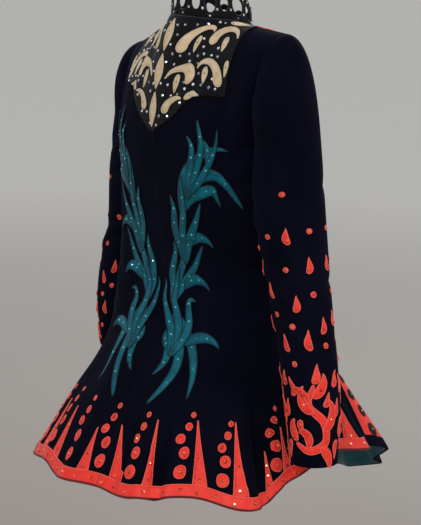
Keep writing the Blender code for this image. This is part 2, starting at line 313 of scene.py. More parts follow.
def startMaterial(name, colour, roughness, **shine):
    made = bpy.data.materials.new(name)
    made.use_nodes = True
    made.diffuse_color = (*colour, 1)
    tree = made.node_tree
    setInputs(tree, tree.nodes["Principled BSDF"], Base_Color=(*colour, 1), Roughness=roughness, **shine)
    return made, tree


def coordinates(tree, output, stretch):
    source = tree.nodes.new("ShaderNodeTexCoord").outputs[output]
    return addNode(tree, "ShaderNodeMapping", Vector=source, Scale=stretch)


def pattern(tree, output, stretch, scale, detail, kind="Noise", **more):
    vector = coordinates(tree, output, stretch)
    texture = addNode(tree, "ShaderNodeTex" + kind, Vector=vector, Scale=scale, Detail=detail, **more)
    return texture.node.outputs["Fac"]


def paint(made, factor, low, high, start, stop, bumps=()):
    # two colours blended by a factor, and bumps, each over the one before
    tree = made.node_tree
    shader = tree.nodes["Principled BSDF"]
    ramp = addNode(tree, "ShaderNodeValToRGB", Fac=factor)
    for element, colour, place in zip(ramp.node.color_ramp.elements, (low, high), (start, stop)):
        element.position = place
        element.color = (*colour, 1)
    setInputs(tree, shader, Base_Color=ramp)
    under = {}
    for height, strength, distance in bumps:
        under["Normal"] = addNode(tree, "ShaderNodeBump", Height=height, Strength=strength,
                                  Distance=distance, **under)
    setInputs(tree, shader, **under)
    return made


def velvetMaterial(name, low, high):
    made, tree = startMaterial(name, high, 0.9, Specular_IOR_Level=0.03, Sheen_Weight=0.016,
                               Sheen_Roughness=0.42, Sheen_Tint=(0.36, 0.42, 1, 1))
    nap = pattern(tree, "Object", (1, 1, 0.55), 16, 3)
    brushed = pattern(tree, "Object", (1, 1, 0.4), 55, 2)
    pile = pattern(tree, "Object", even, 1400, 2)
    return paint(made, nap, low, high, 0.35, 0.65, ((brushed, 0.25, 0.0012), (pile, 0.35, 0.0003)))


def satinMaterial(name, low, high, roughness, threads=1400, gloss=0.3):
    made, tree = startMaterial(name, high, roughness, Specular_IOR_Level=gloss, Sheen_Weight=gloss * 0.1,
                               Sheen_Roughness=0.4)
    cloud = pattern(tree, "Object", even, 70, 3)
    slack = pattern(tree, "UV", (90, 60, 1), 1, 2)
    weave = pattern(tree, "UV", (threads, threads * 0.12, 1), 1, 2)
    return paint(made, cloud, low, high, 0.3, 0.7, ((slack, 0.3, 0.0012), (weave, 0.35, 0.00025)))


def stitchMaterial(name, low, high, roughness):
    made, tree = startMaterial(name, high, roughness, Specular_IOR_Level=0.3, Sheen_Weight=0.04,
                               Sheen_Roughness=0.35)
    # the colour follows the same wave as the bumps: a painted highlight on each stitch's ridge and painted
    # shade in the grooves between stitches
    wave = pattern(tree, "UV", even, waveRepeat / stitchPitch, 1, "Wave", Distortion=0.6)
    return paint(made, wave, low, high, 0.1, 0.7, ((wave, 0.6, 0.0003),))


def crystalMaterial(name, low, high, metal=0.75, coat=0.6):
    made, tree = startMaterial(name, high, 0.07, Metallic=metal, Specular_IOR_Level=0.8, Coat_Weight=coat,
                               Coat_Roughness=0.03)
    # the stones' colour runs through a noise from a dark to a bright tone: painted glints and painted dark
    # reflections on the facets
    return paint(made, pattern(tree, "Object", even, 260, 1), low, high, 0.4, 0.6)


materials = {
    "velvet": velvetMaterial("velvetPile", (0.0016, 0.0018, 0.0052), (0.0028, 0.0031, 0.0088)),
    "backing": satinMaterial("blackBacking", (0.003, 0.003, 0.005), (0.006, 0.006, 0.009), 0.8, gloss=0.1),
    "blackSatin": satinMaterial("blackSatin", (0.0018, 0.0016, 0.0024), (0.0044, 0.004, 0.0054), 0.55,
                                1100, 0.09),
    "blackStitch": stitchMaterial("blackStitching", (0.002, 0.002, 0.003), (0.009, 0.009, 0.011), 0.5),
    "orangeSatin": satinMaterial("orangeSatin", (0.7, 0.022, 0.012), (0.8, 0.036, 0.02), 0.5, gloss=0.25),
    "orangeStitch": stitchMaterial("orangeStitching", (0.62, 0.04, 0.028), (0.95, 0.15, 0.1), 0.45),
    "redPiping": stitchMaterial("darkRedPiping", (0.06, 0.005, 0.005), (0.14, 0.01, 0.009), 0.5),
    "tealSatin": satinMaterial("tealSatin", (0.0006, 0.058, 0.086), (0.0012, 0.118, 0.162), 0.5, gloss=0.12),
    "tealStitch": stitchMaterial("darkTealStitching", (0.001, 0.01, 0.015), (0.003, 0.03, 0.04), 0.55),
    "tealLining": satinMaterial("tealLining", (0.006, 0.065, 0.085), (0.01, 0.095, 0.12), 0.45, gloss=0.25),
    "creamSatin": satinMaterial("creamSatin", (0.5, 0.36, 0.2), (0.64, 0.49, 0.3), 0.45),
    "creamStitch": stitchMaterial("creamStitching", (0.38, 0.29, 0.17), (0.76, 0.63, 0.44), 0.45),
    "clearCrystal": crystalMaterial("clearCrystal", (0.2, 0.21, 0.25), (0.92, 0.93, 0.96)),
    "fireCrystal": crystalMaterial("fireCrystal", (0.34, 0.01, 0.007), (0.95, 0.15, 0.05), 0.45, 0.25),
    "aquaCrystal": crystalMaterial("aquaCrystal", (0.01, 0.26, 0.32), (0.16, 0.62, 0.66)),
    "jetCrystal": crystalMaterial("jetCrystal", (0.02, 0.02, 0.03), (0.12, 0.13, 0.17)),
}
print("materials made")

# Soft folds of the body: angle, height, lean from upright, bend, half length, half width, rise (- sinks)
bodyCreases = inMetres((
    # drag lines from the right armpit and the shoulder blade
    (76, -150, 58, 2, 50, 6.5, -3), (66, -118, 52, 1.5, 45, 7, 2), (72, -195, 66, -2, 48, 7.5, -2.6),
    (60, -170, 60, 1, 40, 8, 1.6), (-74, -152, -56, -2, 52, 6.5, -3), (-64, -120, -50, -1.5, 42, 7, 2),
    (-70, -200, -64, 2, 50, 8, -2.4),
    # short folds across the waist at the back and the sides
    (84, -292, 82, 3, 50, 6, -3.4), (78, -312, 76, 2, 44, 7, 2.6), (88, -334, 84, -3, 55, 6, -3.6),
    (64, -350, 70, 2, 42, 7, -2.2), (38, -326, 80, 1, 50, 7.5, -2.2), (18, -345, 84, -1.5, 46, 6.5, 1.4),
    (-6, -330, 88, 1, 52, 7, -2), (-30, -350, -78, 1, 50, 7, -2.4), (-58, -318, -74, -2, 55, 6.5, -3.4),
    (-80, -340, -80, 3, 52, 6, -3.6), (-86, -296, -84, -3, 46, 6, -3), (-70, -368, -70, 2, 40, 7, 2),
    # long soft lines down the back
    (48, -260, 12, 0.6, 70, 11, -2), (30, -235, 6, 0.3, 80, 12, 1.4), (-26, -250, -8, -0.4, 85, 12, -1.8),
    (-46, -270, -14, -0.5, 70, 11, 1.6),
    # folds of the skirt between its flutes
    (8.5, -535, 2, 0, 70, 6, -6.5), (1.5, -510, -3, 0.4, 75, 9, 3), (22.5, -525, -6, 0, 85, 7.5, -11),
    (17.5, -530, -4, 0, 80, 7, 5), (28, -500, 4, 0.3, 70, 10, 3), (41, -470, 3, 0, 75, 9, -3),
    (57, -520, -2, 0, 90, 8.5, -12), (51.5, -510, 2, 0.2, 80, 9, 5), (63, -500, 3, 0, 85, 9, 5),
    (70, -490, 0, 0, 80, 9, -7), (88, -470, 2, 0.2, 80, 10, -6), (110, -490, -2, 0, 90, 10, -6),
    (121, -500, 3, 0, 90, 12, 4), (141, -520, 2, 0, 100, 10, -8), (165, -540, -2, 0.2, 100, 11, -6),
    (-170, -530, 3, 0, 110, 12, -7), (-147, -530, -2, 0, 100, 11, -6), (-121, -500, 2, 0, 90, 10, -8),
    (-90, -490, -3, 0, 90, 12, -6), (-72, -500, 2, 0.3, 80, 11, 4), (-60, -500, -2, 0, 85, 9, -6),
    (-33, -545, 2, 0, 110, 23, 10), (-11, -505, -2, 0, 75, 8, -3), (-19, -550, 2, 0, 90, 17, -6.5),
    (-51, -555, -2, 0, 90, 19, -4.5),
    # soft pulls over the chest and the front waist
    (150, -200, 40, 1, 50, 10, -2), (-150, -205, -42, -1, 50, 10, -2), (120, -315, 80, -2, 55, 7, -3.2),
    (160, -338, 86, 1, 55, 8, -2.4), (-165, -322, -86, -1, 55, 8, -2.4), (-125, -330, -80, 2, 55, 7, -3),
), 1, 4, 5, 6)

# Soft folds of a sleeve: angle round it, height, lean, bend, half length, half width, rise
sleeveCreases = inMetres((
    (60, -85, 0, 0, 58, 45, 8), (20, -205, 74, 2, 36, 7, -2.4), (75, -175, 40, -2, 36, 6.5, -3),
    (110, -215, 62, 2, 40, 6.5, -3.6), (150, -245, 78, -2, 38, 6, -3.4), (-70, -180, -44, 2, 36, 6.5, -3),
    (-110, -225, -66, -2, 40, 7, -3.4), (95, -285, 70, 3, 40, 6, -3.4), (140, -305, 84, -3, 36, 6, -4),
    (60, -318, 60, -2, 34, 7, 2), (175, -330, 88, 2, 40, 6, -4.2), (-150, -300, -80, 2, 36, 6, -3.6),
    (-60, -300, -62, -2, 36, 7, -2.6), (30, -352, 66, 2, 36, 7, -2.2), (115, -365, 74, -2, 36, 6.5, -3.2),
    (-100, -360, -70, 3, 38, 6.5, -3.2), (-10, -405, 72, -2, 34, 7, -2), (80, -425, 64, 2, 34, 6.5, -2.6),
    (160, -415, 82, 2, 36, 6, -3.4), (-130, -430, -76, -2, 36, 6.5, -3), (-50, -460, -60, 2, 30, 7, 1.8),
    (50, -480, 58, -2, 28, 7, -1.8),
), 1, 4, 5, 6)


def creaseLift(creases, angle, level, radius):
    total = 0
    for atAngle, atLevel, lean, bend, halfLength, halfWidth, rise in creases:
        up = level - atLevel
        if abs(up) > halfLength + 3 * halfWidth:
            continue
        over = radians(wrapAngle(angle - atAngle)) * radius
        tilt = radians(lean)
        along = up * cos(tilt) + over * sin(tilt)
        if abs(along) < halfLength and abs(over) <= halfLength + 3 * halfWidth:
            across = over * cos(tilt) - up * sin(tilt) - bend * along * along
            fade = (1 - (along / halfLength) ** 2) ** 1.5
            total += rise * fade * exp(-((across / halfWidth) ** 2))
    return total


def bodyLift(angle, z):
    radius = (readTable(body["rings"], z, 1) + readTable(body["rings"], z, 3)) / 2
    return creaseLift(bodyCreases, angle, z, radius)


def columnLevels(column, start=0):
    levels = [start]
    for a, b in zip(column, column[1:]):
        levels.append(levels[-1] + (b - a).length)
    return levels


def newForm():
    form = bmesh.new()
    form.loops.layers.uv.new("clothUV")
    return form


def addFace(form, corners):
    # each corner is a vertex with its place on the flat cloth
    layer = form.loops.layers.uv.active
    face = form.faces.new([vert for vert, _ in corners])
    face.smooth = True
    for loop, (_, place) in zip(face.loops, corners):
        loop[layer].uv = place


def gridForm(columns, lifts, closed, flip):
    # cloth through columns of points, lifted along its facing where lifts are given
    form = newForm()
    grid = [[form.verts.new(point) for point in column] for column in columns]
    count, rows = len(grid), len(grid[0])
    span = count if closed else count - 1
    across = [0]
    ups = [columnLevels(column) for column in columns]
    for i in range(span):
        n = (i + 1) % count
        across.append(across[-1] + (columns[n][rows // 2] - columns[i][rows // 2]).length)
        for j in range(rows - 1):
            corners = [(grid[c][row], (across[k], ups[c][row]))
                       for c, k, row in ((i, i, j), (i, i, j + 1), (n, i + 1, j + 1), (n, i + 1, j))]
            addFace(form, corners[::-1] if flip else corners)
    form.normal_update()
    if lifts:
        normals = [[vert.normal.copy() for vert in column] for column in grid]
        for i in range(count):
            for j in range(rows):
                grid[i][j].co += normals[i][j] * lifts[i][j]
        form.normal_update()
    return form


def surfaceOf(*forms):
    # points, normals and faces of cloth, for other pieces to lie on
    surface = {"points": [], "normals": [], "faces": []}
    for form in forms:
        start = len(surface["points"])
        form.verts.index_update()
        surface["points"] += [vert.co.copy() for vert in form.verts]
        surface["normals"] += [vert.normal.copy() for vert in form.verts]
        surface["faces"] += [tuple(start + vert.index for vert in face.verts) for face in form.faces]
    surface["tree"] = BVHTree.FromPolygons(surface["points"], surface["faces"])
    return surface


def layOn(surface, point, lift):
    # the nearest spot of a surface, lifted along its facing there, and that facing
    spot, _, index, _ = surface["tree"].find_nearest(point)
    normal = Vector()
    for corner in surface["faces"][index]:
        normal += surface["normals"][corner] / ((surface["points"][corner] - spot).length + 0.0005)
    normal.normalize()
    return spot + normal * lift, normal


def laid(surface, columns, lift):
    return [[layOn(surface, point, lift)[0] for point in column] for column in columns]


def linkPiece(name, mesh):
    piece = bpy.data.objects.new(name, mesh)
    bpy.context.scene.collection.objects.link(piece)
    return piece


def finishCloth(name, form, wall, outside, node=None, inside=None):
    mesh = bpy.data.meshes.new(name)
    form.to_mesh(mesh)
    form.free()
    piece = linkPiece(name, mesh)
    mesh.materials.append(materials[outside])
    if inside:
        mesh.materials.append(materials[inside])
    if wall:
        solidify = piece.modifiers.new("wall", "SOLIDIFY")
        solidify.thickness = wall
        solidify.offset = -1
        solidify.use_even_offset = False
        solidify.material_offset = 1 if inside else 0
    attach(piece, "root")
    if node:
        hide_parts(node)


# Body: two back panels and a front
panels = {
    "wall": 0.0016,
    "columns": 112,
    "lowRows": 98,
    "highRows": 54,
    "seamSink": 0.00012,
    "backFlat": (0.4, 0.62),
    "backArea": 0.14,
    "frontFlat": (0.8, 0.64),
    "frontArea": 0.3,
}


def panelColumns(side, back):
    count, lowRows, highRows = panels["columns"], panels["lowRows"], panels["highRows"]
    columns, lifts = [], []
    for k, share in enumerate(shares(count)):
        angle = -side * (90 * share if back else 180 - 90 * share)
        low = [bodyPoint(angle, mix(hemZ(angle), body["armpitZ"], rise)) for rise in shares(lowRows)[:-1]]
        high = [upperPoint(side, share, back, rise) for rise in shares(highRows)]
        levels = [point.z for point in low] + columnLevels(high, body["armpitZ"])
        seam = 1 - min((min(k, count - k) if back else count - k) / 2, 1)
        columns.append(low + high)
        lifts.append([bodyLift(angle, level) - panels["seamSink"] * seam for level in levels])
    return columns, lifts


leftBack, rightBack = (gridForm(*panelColumns(side, True), False, side < 0) for side in (1, -1))
(leftColumns, leftLifts), (rightColumns, rightLifts) = (panelColumns(side, False) for side in (1, -1))
front = gridForm(leftColumns[::-1] + rightColumns[1:], leftLifts[::-1] + rightLifts[1:], False, False)
bodySurface = surfaceOf(leftBack, rightBack, front)
for name, node, form, cut in (("backPanelLeft", "back_left", leftBack, "back"),
                              ("backPanelRight", "back_right", rightBack, "back"),
                              ("frontPanel", "front", front, "front")):
    finishCloth(name, form, panels["wall"], "velvet", node, "backing")
print("body panels made")

sleeves = {
    "columns": 96,
    "capRows": 34,
    "lowRows": 96,
    "wall": 0.0016,
    "creaseRadius": 0.038,
    "clothRadius": 0.0375,
    "flat": (0.3, 0.56),
    "area": 0.125,
}

sleeveSurfaces = {}
for side, word in sides:
    columns, lifts = [], []
    for k in range(sleeves["columns"]):
        back, rise = armholeEdge(k * 2 * sleeve["edgeRows"] / sleeves["columns"])
        around = pi - tau * k / sleeves["columns"]
        columns.append(sleeveColumn(side, back, rise, around))
        lifts.append([creaseLift(sleeveCreases, degrees(around), point.z, sleeves["creaseRadius"])
                      * ease(row, 0, 6) for row, point in enumerate(columns[-1])])
    form = gridForm(columns, lifts, True, side > 0)
    sleeveSurfaces[side] = surfaceOf(form)
    finishCloth("sleeve" + word.capitalize(), form, sleeves["wall"], "velvet", "sleeve_" + word,
                "backing")
print("sleeves made")

lining = {
    "topZ": -0.44,
    "wall": 0.0009,
    "inset": 0.0026,
    "columns": 560,
    "rows": 30,
    "hemStep": 0.002,
    "flat": (1.45, 0.2),
    "area": 0.2,
}

columns, lifts = [], []
for k in range(lining["columns"]):
    angle = 180 - 360 * k / lining["columns"]
    low = hemZ(angle) + lining["hemStep"]
    columns.append([bodyPoint(angle, mix(low, lining["topZ"], rise)) for rise in shares(lining["rows"])])
    lifts.append([bodyLift(angle, point.z) - lining["inset"] for point in columns[-1]])
finishCloth("skirtLining", gridForm(columns, lifts, True, False), lining["wall"], "tealLining",
            "skirt_lining", None)
print("lining made")

# Pieces cut flat and sewn on
cordProfile = ((-1, 0), (-0.82, 0.62), (-0.36, 0.97), (0.36, 0.97), (0.82, 0.62), (1, 0))
leastWidth = 0.0004
# inner points of a patch, in spacings of its outline: their step, their rows and their margin
innerStep, innerRow, innerMargin = 1.6, 0.87, 0.55
# distance between the points of an outline
spacing = {"spike": 0.0028, "hemDisc": 0.0026, "strip": 0.0035, "blackDisc": 0.0028, "drop": 0.002,
           "ring": 0.0022, "vine": 0.0022, "leaf": 0.0024, "plume": 0.0028, "cream": 0.0022}
# radius of the crystal on a shape
stone = {"hem": 0.0026, "hemDisc": 0.0027, "blackDisc": 0.0022, "drop": 0.0022, "ring": 0.0019,
         "vine": 0.002, "leaf": 0.002, "plume": 0.0016}
# points and wobble of a hand-cut disc
discCut, ringCut = (20, 0.03), (14, 0.04)
threadRow = 0.001
edgeRise = 0.0003


def insideOutline(outline, x, y):
    hit = False
    for (ax, ay), (bx, by) in zip(outline, outline[1:] + outline[:1]):
        if (ay > y) != (by > y) and x < (bx - ax) * (y - ay) / (by - ay) + ax:
            hit = not hit
    return hit


def outlineDistance(outline, x, y):
    nearest = 1
    for (ax, ay), (bx, by) in zip(outline, outline[1:] + outline[:1]):
        dx, dy = bx - ax, by - ay
        share = min(max(((x - ax) * dx + (y - ay) * dy) / (dx * dx + dy * dy + 1e-12), 0), 1)
        nearest = min(nearest, hypot(ax + dx * share - x, ay + dy * share - y))
    return nearest


def addPatch(form, outline, surface, place, lift, gap):
    # cut the outline out of the plane, with inner points so that it can follow the cloth
    xs, ys = zip(*outline)
    step = gap * innerStep
    inner = []
    row, y = 0, min(ys) + step / 2
    while y < max(ys):
        x = min(xs) + step * (0.5 if row % 2 else 0)
        while x < max(xs):
            if insideOutline(outline, x, y) and outlineDistance(outline, x, y) > gap * innerMargin:
                inner.append(Vector((x, y)))
            x += step
        y += step * innerRow
        row += 1
    count = len(outline)
    edges = [(k, (k + 1) % count) for k in range(count)]
    flat, _, faces, *_ = delaunay_2d_cdt([Vector(p) for p in outline] + inner, edges, [], 1, 1e-7)
    spots = [layOn(surface, place(*p), lift) for p in flat]
    corners = [(form.verts.new(spot), p) for (spot, _), p in zip(spots, flat)]
    facing = sum((spots[b][0] - spots[a][0]).cross(spots[c][0] - spots[a][0]).dot(spots[a][1])
                 for a, b, c in (face[:3] for face in faces))
    for face in faces:
        addFace(form, [corners[k] for k in (face if facing > 0 else face[::-1])])


def smoothLine(points, parts):
    made = []
    last = len(points) - 1
    for i in range(last):
        spans = list(zip(*(points[min(max(i + n, 0), last)] for n in (-1, 0, 1, 2))))
        for t in shares(parts)[:-1]:
            made.append(tuple(
                0.5 * (2 * b + (c - a) * t + (2 * a - 5 * b + 4 * c - d) * t * t
                       + (3 * b - a - 3 * c + d) * t ** 3) for a, b, c, d in spans))
    return made + [tuple(points[-1])]


def evenLoop(points, gap):
    made = []
    for (ax, ay), (bx, by) in zip(points, points[1:] + points[:1]):
        parts = max(1, round(hypot(bx - ax, by - ay) / gap))
        made += [(mix(ax, bx, share), mix(ay, by, share)) for share in shares(parts)[:-1]]
    return made


def addCord(form, spots, halfWidth, height, closed=True):
    # a low rounded bead of thread along points that lie on the cloth, with their normals
    count, size = len(spots), len(cordProfile)
    rings, along = [], [0]
    for k, (point, normal) in enumerate(spots):
        after = spots[(k + 1) % count][0]
        along.append(along[-1] + (after - point).length)
        before = spots[k - 1][0] if closed or k > 0 else point
        after = after if closed or k < count - 1 else point
        across = normal.cross((after - before).normalized()).normalized()
        rings.append([form.verts.new(point + across * (x * halfWidth) + normal * (y * height))
                      for x, y in cordProfile])
    for k in range(count if closed else count - 1):
        near, far = rings[k], rings[(k + 1) % count]
        for j in range(size):
            n = (j + 1) % size
            addFace(form, [(ring[i], (along[m], row * threadRow)) for ring, i, m, row in (
                (near, j, k, j), (far, j, k + 1, j), (far, n, k + 1, j + 1), (near, n, k, j + 1))])
    if not closed:
        form.faces.new(rings[0])
        form.faces.new(rings[-1][::-1])


crystalSpots = {"clearCrystal": [], "fireCrystal": [], "aquaCrystal": [], "jetCrystal": []}


def setCrystal(kind, surface, point, radius, lift):
    crystalSpots[kind].append((*layOn(surface, point, lift), radius))


class SewnOn:
    # one cloth and one edge thread, with all the shapes cut from it and the crystals on them
    def __init__(self, name, cloth, thread, slotName, thickness=0.0006, lift=0.0008, bead=0.0008,
                 stone="fireCrystal", stoneLift=0.0009):
        self.name, self.cloth, self.thread, self.slotName = name, cloth, thread, slotName
        self.thickness, self.lift, self.bead = thickness, lift, bead
        self.stone, self.stoneLift = stone, stoneLift
        self.patches, self.cords = newForm(), newForm()

    def sew(self, outline, surface, place, gap, stones=(), layer=0):
        # a stone is its place across and up, and its radius
        loop = evenLoop(outline, gap)
        addPatch(self.patches, loop, surface, place, self.lift + layer, gap)
        spots = [layOn(surface, place(x, y), self.lift + layer - self.thickness) for x, y in loop]
        addCord(self.cords, spots, self.bead, self.thickness + edgeRise)
        for x, y, radius in stones:
            setCrystal(self.stone, surface, place(x, y), radius, self.stoneLift + layer)

    def finish(self):
        bmesh.ops.recalc_face_normals(self.cords, faces=self.cords.faces)
        for name, form, wall, cloth in ((self.name, self.patches, self.thickness, self.cloth),
                                        (self.name + "Edging", self.cords, 0, self.thread)):
            if form.faces:
                finishCloth(name, form, wall, cloth)
        print(self.name, "sewn on")


# Shapes, each a list of points with its foot at the origin and its tip upward

def pairedShape(rows):
    # up the right side and down the left, from the centre, half width and height of each row
    left = [(centre - half, up) for centre, half, up in rows]
    return [(centre + half, up) for centre, half, up in rows] + left[-2:0:-1]


def leafShape(length, width, bend, foot, power=0.85):
    # foot 0 gives a pointed foot, 1 a round one
    rows = []
    for s in shares(14):
        rounded = 2.9 * (1 - s) ** 1.4 * sqrt(s)
        half = width / 2 * mix(sin(pi * s) ** power, rounded, foot)
        rows.append((bend * length * s * s, half, s * length))
    return pairedShape(rows)


def flameShape(length, width):
    # a drop with a round foot and a tip that sways
    rows = []
    for s in (k ** 1.2 for k in shares(16)):
        sway = 0.16 * length * (sin(4.4 * s) * 0.5 + 0.9 * s * s)
        rows.append((sway, width / 2 * 2.99 * (1 - s) ** 1.45 * sqrt(s), s * length))
    return pairedShape(rows)


def sideways(a, b):
    size = hypot(b[0] - a[0], b[1] - a[1])
    return (b[1] - a[1]) / size, (a[0] - b[0]) / size


def ribbonShape(line, widths):
    # outline of a ribbon along a line of points, with a width at each
    right, left = [], []
    for k, (x, y) in enumerate(line):
        facing = sideways(line[max(k - 1, 0)], line[min(k + 1, len(line) - 1)])
        across, up = (n * widths[k] / 2 for n in facing)
        right.append((x + across, y + up))
        left.append((x - across, y - up))
    return right + left[::-1]


def swungShape(length, sweep, steps, power, widths):
    # a ribbon that turns through the sweep as it grows
    line = [(0, 0)]
    for before, after in zip(steps, steps[1:]):
        a = radians(sweep) * ((before + after) / 2) ** power
        x, y = line[-1]
        line.append((x + sin(a) * (after - before) * length, y + cos(a) * (after - before) * length))
    return ribbonShape(line, [max(width, leastWidth) for width in widths])


def commaShape(length, width, sweep):
    # a round head with a tail that runs out to a point
    steps = [k ** 1.5 for k in shares(34)]
    head = width / 2 / length
    widths = [width * (sqrt(max(1 - (1 - s / head) ** 2, 0)) if s < head
                       else (1 - (s - head) / (1 - head)) ** 0.75) for s in steps]
    return swungShape(length, sweep, steps, 1.15, widths)


def hookShape(length, width, sweep):
    # a leaf with a pointed foot and tip
    widths = [width * sin(pi * s ** 0.75) ** 0.8 for s in shares(26)]
    return swungShape(length, sweep, shares(26), 1.3, widths)


def strandShape(line, start, stop, offset, width, flare, hook):
    # one blade of a plume: it leaves the stem's line by its offset and hooks away at its tip
    path, widths = [], []
    for t in shares(26):
        place = mix(start, stop, t) * (len(line) - 1)
        n = min(int(place), len(line) - 2)
        a, b = line[n], line[n + 1]
        side = offset * ease(t, -0.05, 0.55) * (1 + flare * t * t) + hook * t ** 4
        path.append(tuple(mix(p, q, place - n) + r * side for p, q, r in zip(a, b, sideways(a, b))))
        widths.append(max(width * abs(sin(pi * t ** 0.75)) ** 0.62, leastWidth))
    return ribbonShape(path, widths), path


def discShape(radius, points, wobble, seed):
    draw = random.Random(seed)
    turns = [draw.uniform(-1, 1) for _ in range(3)]
    made = []
    for a in (tau * k / points for k in range(points)):
        r = radius * (1 + wobble * sum(t * cos((n + 2) * a) for n, t in enumerate(turns)))
        made.append((r * cos(a), r * sin(a)))
    return made


def turned(shape, angle, x=0, y=0):
    c, s = cos(radians(angle)), sin(radians(angle))
    return [(x + px * c + py * s, y - px * s + py * c) for px, py in shape]


def mirrored(shape):
    return [(-x, y) for x, y in shape]


def acrossMiddle(shape, n):
    # halfway between a point on the right side of a shape and its partner on the left
    return [(a + b) / 2 for a, b in zip(shape[n], shape[-1 - n])]


def degreeLength(angle, z):
    # metres of cloth in one degree round the body
    halfWidth, depth = bodySize(wrapAngle(angle), z)
    return radians(hypot(halfWidth * cos(radians(angle)), depth * sin(radians(angle))))


def bodyPlace(angle, z):
    size = degreeLength(angle, z)
    return lambda x, y: bodySpot(angle + x / size, z + y)


def sleevePlace(side, around, z):
    return lambda x, y: sleeveRing(side, z + y, radians(around) + side * x / sleeves["clothRadius"])


# Hem: bands, spikes that stand on them and columns of discs between the spikes
hem = {
    "height": 0.0138,
    "lift": 0.0013,
    "wall": 0.001,
    "rows": 6,
    "columnsPerDegree": 0.9,
    "frontEdge": 106,
    "cordHeight": 0.0012,
    "cordStep": 0.8,
    "spikeOverlap": 0.001,
    "crystalMargin": 2,
    "crystalStep": 5.6,
    "crystalUp": 0.007,
    "crystalWander": 0.0012,
    "crystalRise": 0.0001,
    "flatBack": (0.37, 0.016),
    "flatFront": (0.62, 0.016),
    "flatSide": (0.062, 0.015),
}

# angle at the foot, angle at the tip, height of the tip, width at the foot
spikes = inMetres((
    (-26, -29, -488, 19), (-7.4, -9, -496, 16), (7.4, 2, -490, 20), (20.4, 17.6, -476, 17),
    (36.4, 33.2, -476, 18), (49, 48, -476, 17), (59.2, 58.8, -510, 12), (67, 67.6, -487, 12),
    (78, 78.6, -462, 17), (90, 90.4, -460, 17), (99, 100.6, -474, 18), (-39.5, -41.5, -487, 18),
    (-52.5, -54, -488, 19), (-65.5, -66.5, -486, 18), (-78.5, -79, -486, 18), (-91, -91.5, -488, 18),
    (-101, -101.5, -494, 17),
), 2, 3)

# angle at the lowest disc, angle at the highest
discColumns = (
    (-15, -20), (-0.6, -5.6), (14.2, 12), (29.4, 29), (43.4, 45), (62.6, 63.4), (73, 73.4), (84, 84.4),
    (-33, -36), (-46, -48.4), (-59, -60.6), (-72, -73.2), (-85, -85.8), (-96, -96.6), (94.6, 95.4),
)

# height over the hem, radius, shift toward the wearer's right
discs = inMetres(((27, 7, 0), (47, 5.9, 2), (61.5, 4.6, -4.5), (74.5, 3.8, 3), (87, 2.6, 6)))


def hemPlace(angle, up):
    return bodyPoint(angle, hemZ(angle) + up)


edge = hem["frontEdge"]
# name, angles from and to, node, cloth, slot, flat size
for name, start, stop, node, cloth, slotName, flat in (
        ("BackLeft", -90, 0, "back_left", "orangeSatin", "orange", hem["flatBack"]),
        ("BackRight", 0, 90, "back_right", "orangeSatin", "orange", hem["flatBack"]),
        ("Front", edge, 360 - edge, "front", "velvet", "velvet", hem["flatFront"]),
        ("SideRight", 90, edge, "front", "orangeSatin", "orange", hem["flatSide"]),
        ("SideLeft", -edge, -90, "front", "orangeSatin", "orange", hem["flatSide"])):
    count = round((stop - start) * hem["columnsPerDegree"])
    columns = [[hemPlace(mix(start, stop, share), hem["height"] * row / hem["rows"])
                for row in range(hem["rows"] + 1)] for share in shares(count)]
    form = gridForm(laid(bodySurface, columns, hem["lift"]), None, False, True)
    finishCloth("hemBand" + name, form, hem["wall"], cloth, "hem_border_" + node, None)

orange = SewnOn("orangeShapes", "orangeSatin", "orangeStitch", "orange")
orangeDiscs = SewnOn("orangeDiscs", "orangeSatin", "orangeStitch", "orange")
black = SewnOn("blackShapes", "blackSatin", "blackStitch", "lace", lift=0.0016, stone="jetCrystal",
               stoneLift=0.0018)
piping = SewnOn("hemPiping", "redPiping", "redPiping", "orange")

# a cord along each edge of the band: its group, place over the hem, lift and half width
for group, up, lift, bead in ((orange, hem["height"], 0.0006, 0.001), (piping, 0.0012, 0.0012, 0.0012)):
    angles = [mix(-edge, edge, share) for share in shares(round(2 * edge / hem["cordStep"]))]
    spots = [layOn(bodySurface, hemPlace(angle, up), lift) for angle in angles]
    addCord(group.cords, spots, bead, hem["cordHeight"], False)

for number, (foot, tip, tipZ, width) in enumerate(spikes):
    footZ = hemZ(foot) + hem["height"] - hem["spikeOverlap"]
    height = tipZ - footZ
    lean = (tip - foot) * degreeLength(foot, footZ)
    right = [(lean * s ** 1.3 + width / 2 * (1 - s) ** 1.12 + 0.0003, height * s) for s in shares(12)]
    left = [(2 * lean * s ** 1.3 - x, y) for s, (x, y) in zip(shares(12), right)]
    stones = [(lean * s ** 1.3, height * s, stone["hem"] - 0.0009 * s)
              for s in ((0.1, 0.42) if number % 3 else (0.12, 0.36, 0.62))]
    orange.sew(right + left[::-1], bodySurface, bodyPlace(foot, footZ), spacing["spike"], stones)

for column, (low, high) in enumerate(discColumns):
    for number, (up, radius, shift) in enumerate(discs):
        angle = mix(low, high, up / discs[-1][0])
        shift = shift if column % 2 else shift * 0.8 - 0.001
        shape = turned(discShape(radius, *discCut, column * 10 + number), 0, shift)
        orangeDiscs.sew(shape, bodySurface, bodyPlace(angle, hemZ(angle) + up), spacing["hemDisc"],
                        ((shift, 0, min(stone["hemDisc"], radius * 0.5)),))

angle = -edge + hem["crystalMargin"]
while angle < edge:
    point = hemPlace(angle, hem["crystalUp"] + hem["crystalWander"] * sin(angle * 1.7))
    setCrystal("fireCrystal", bodySurface, point, stone["hem"], hem["lift"] + hem["crystalRise"])
    angle += hem["crystalStep"]

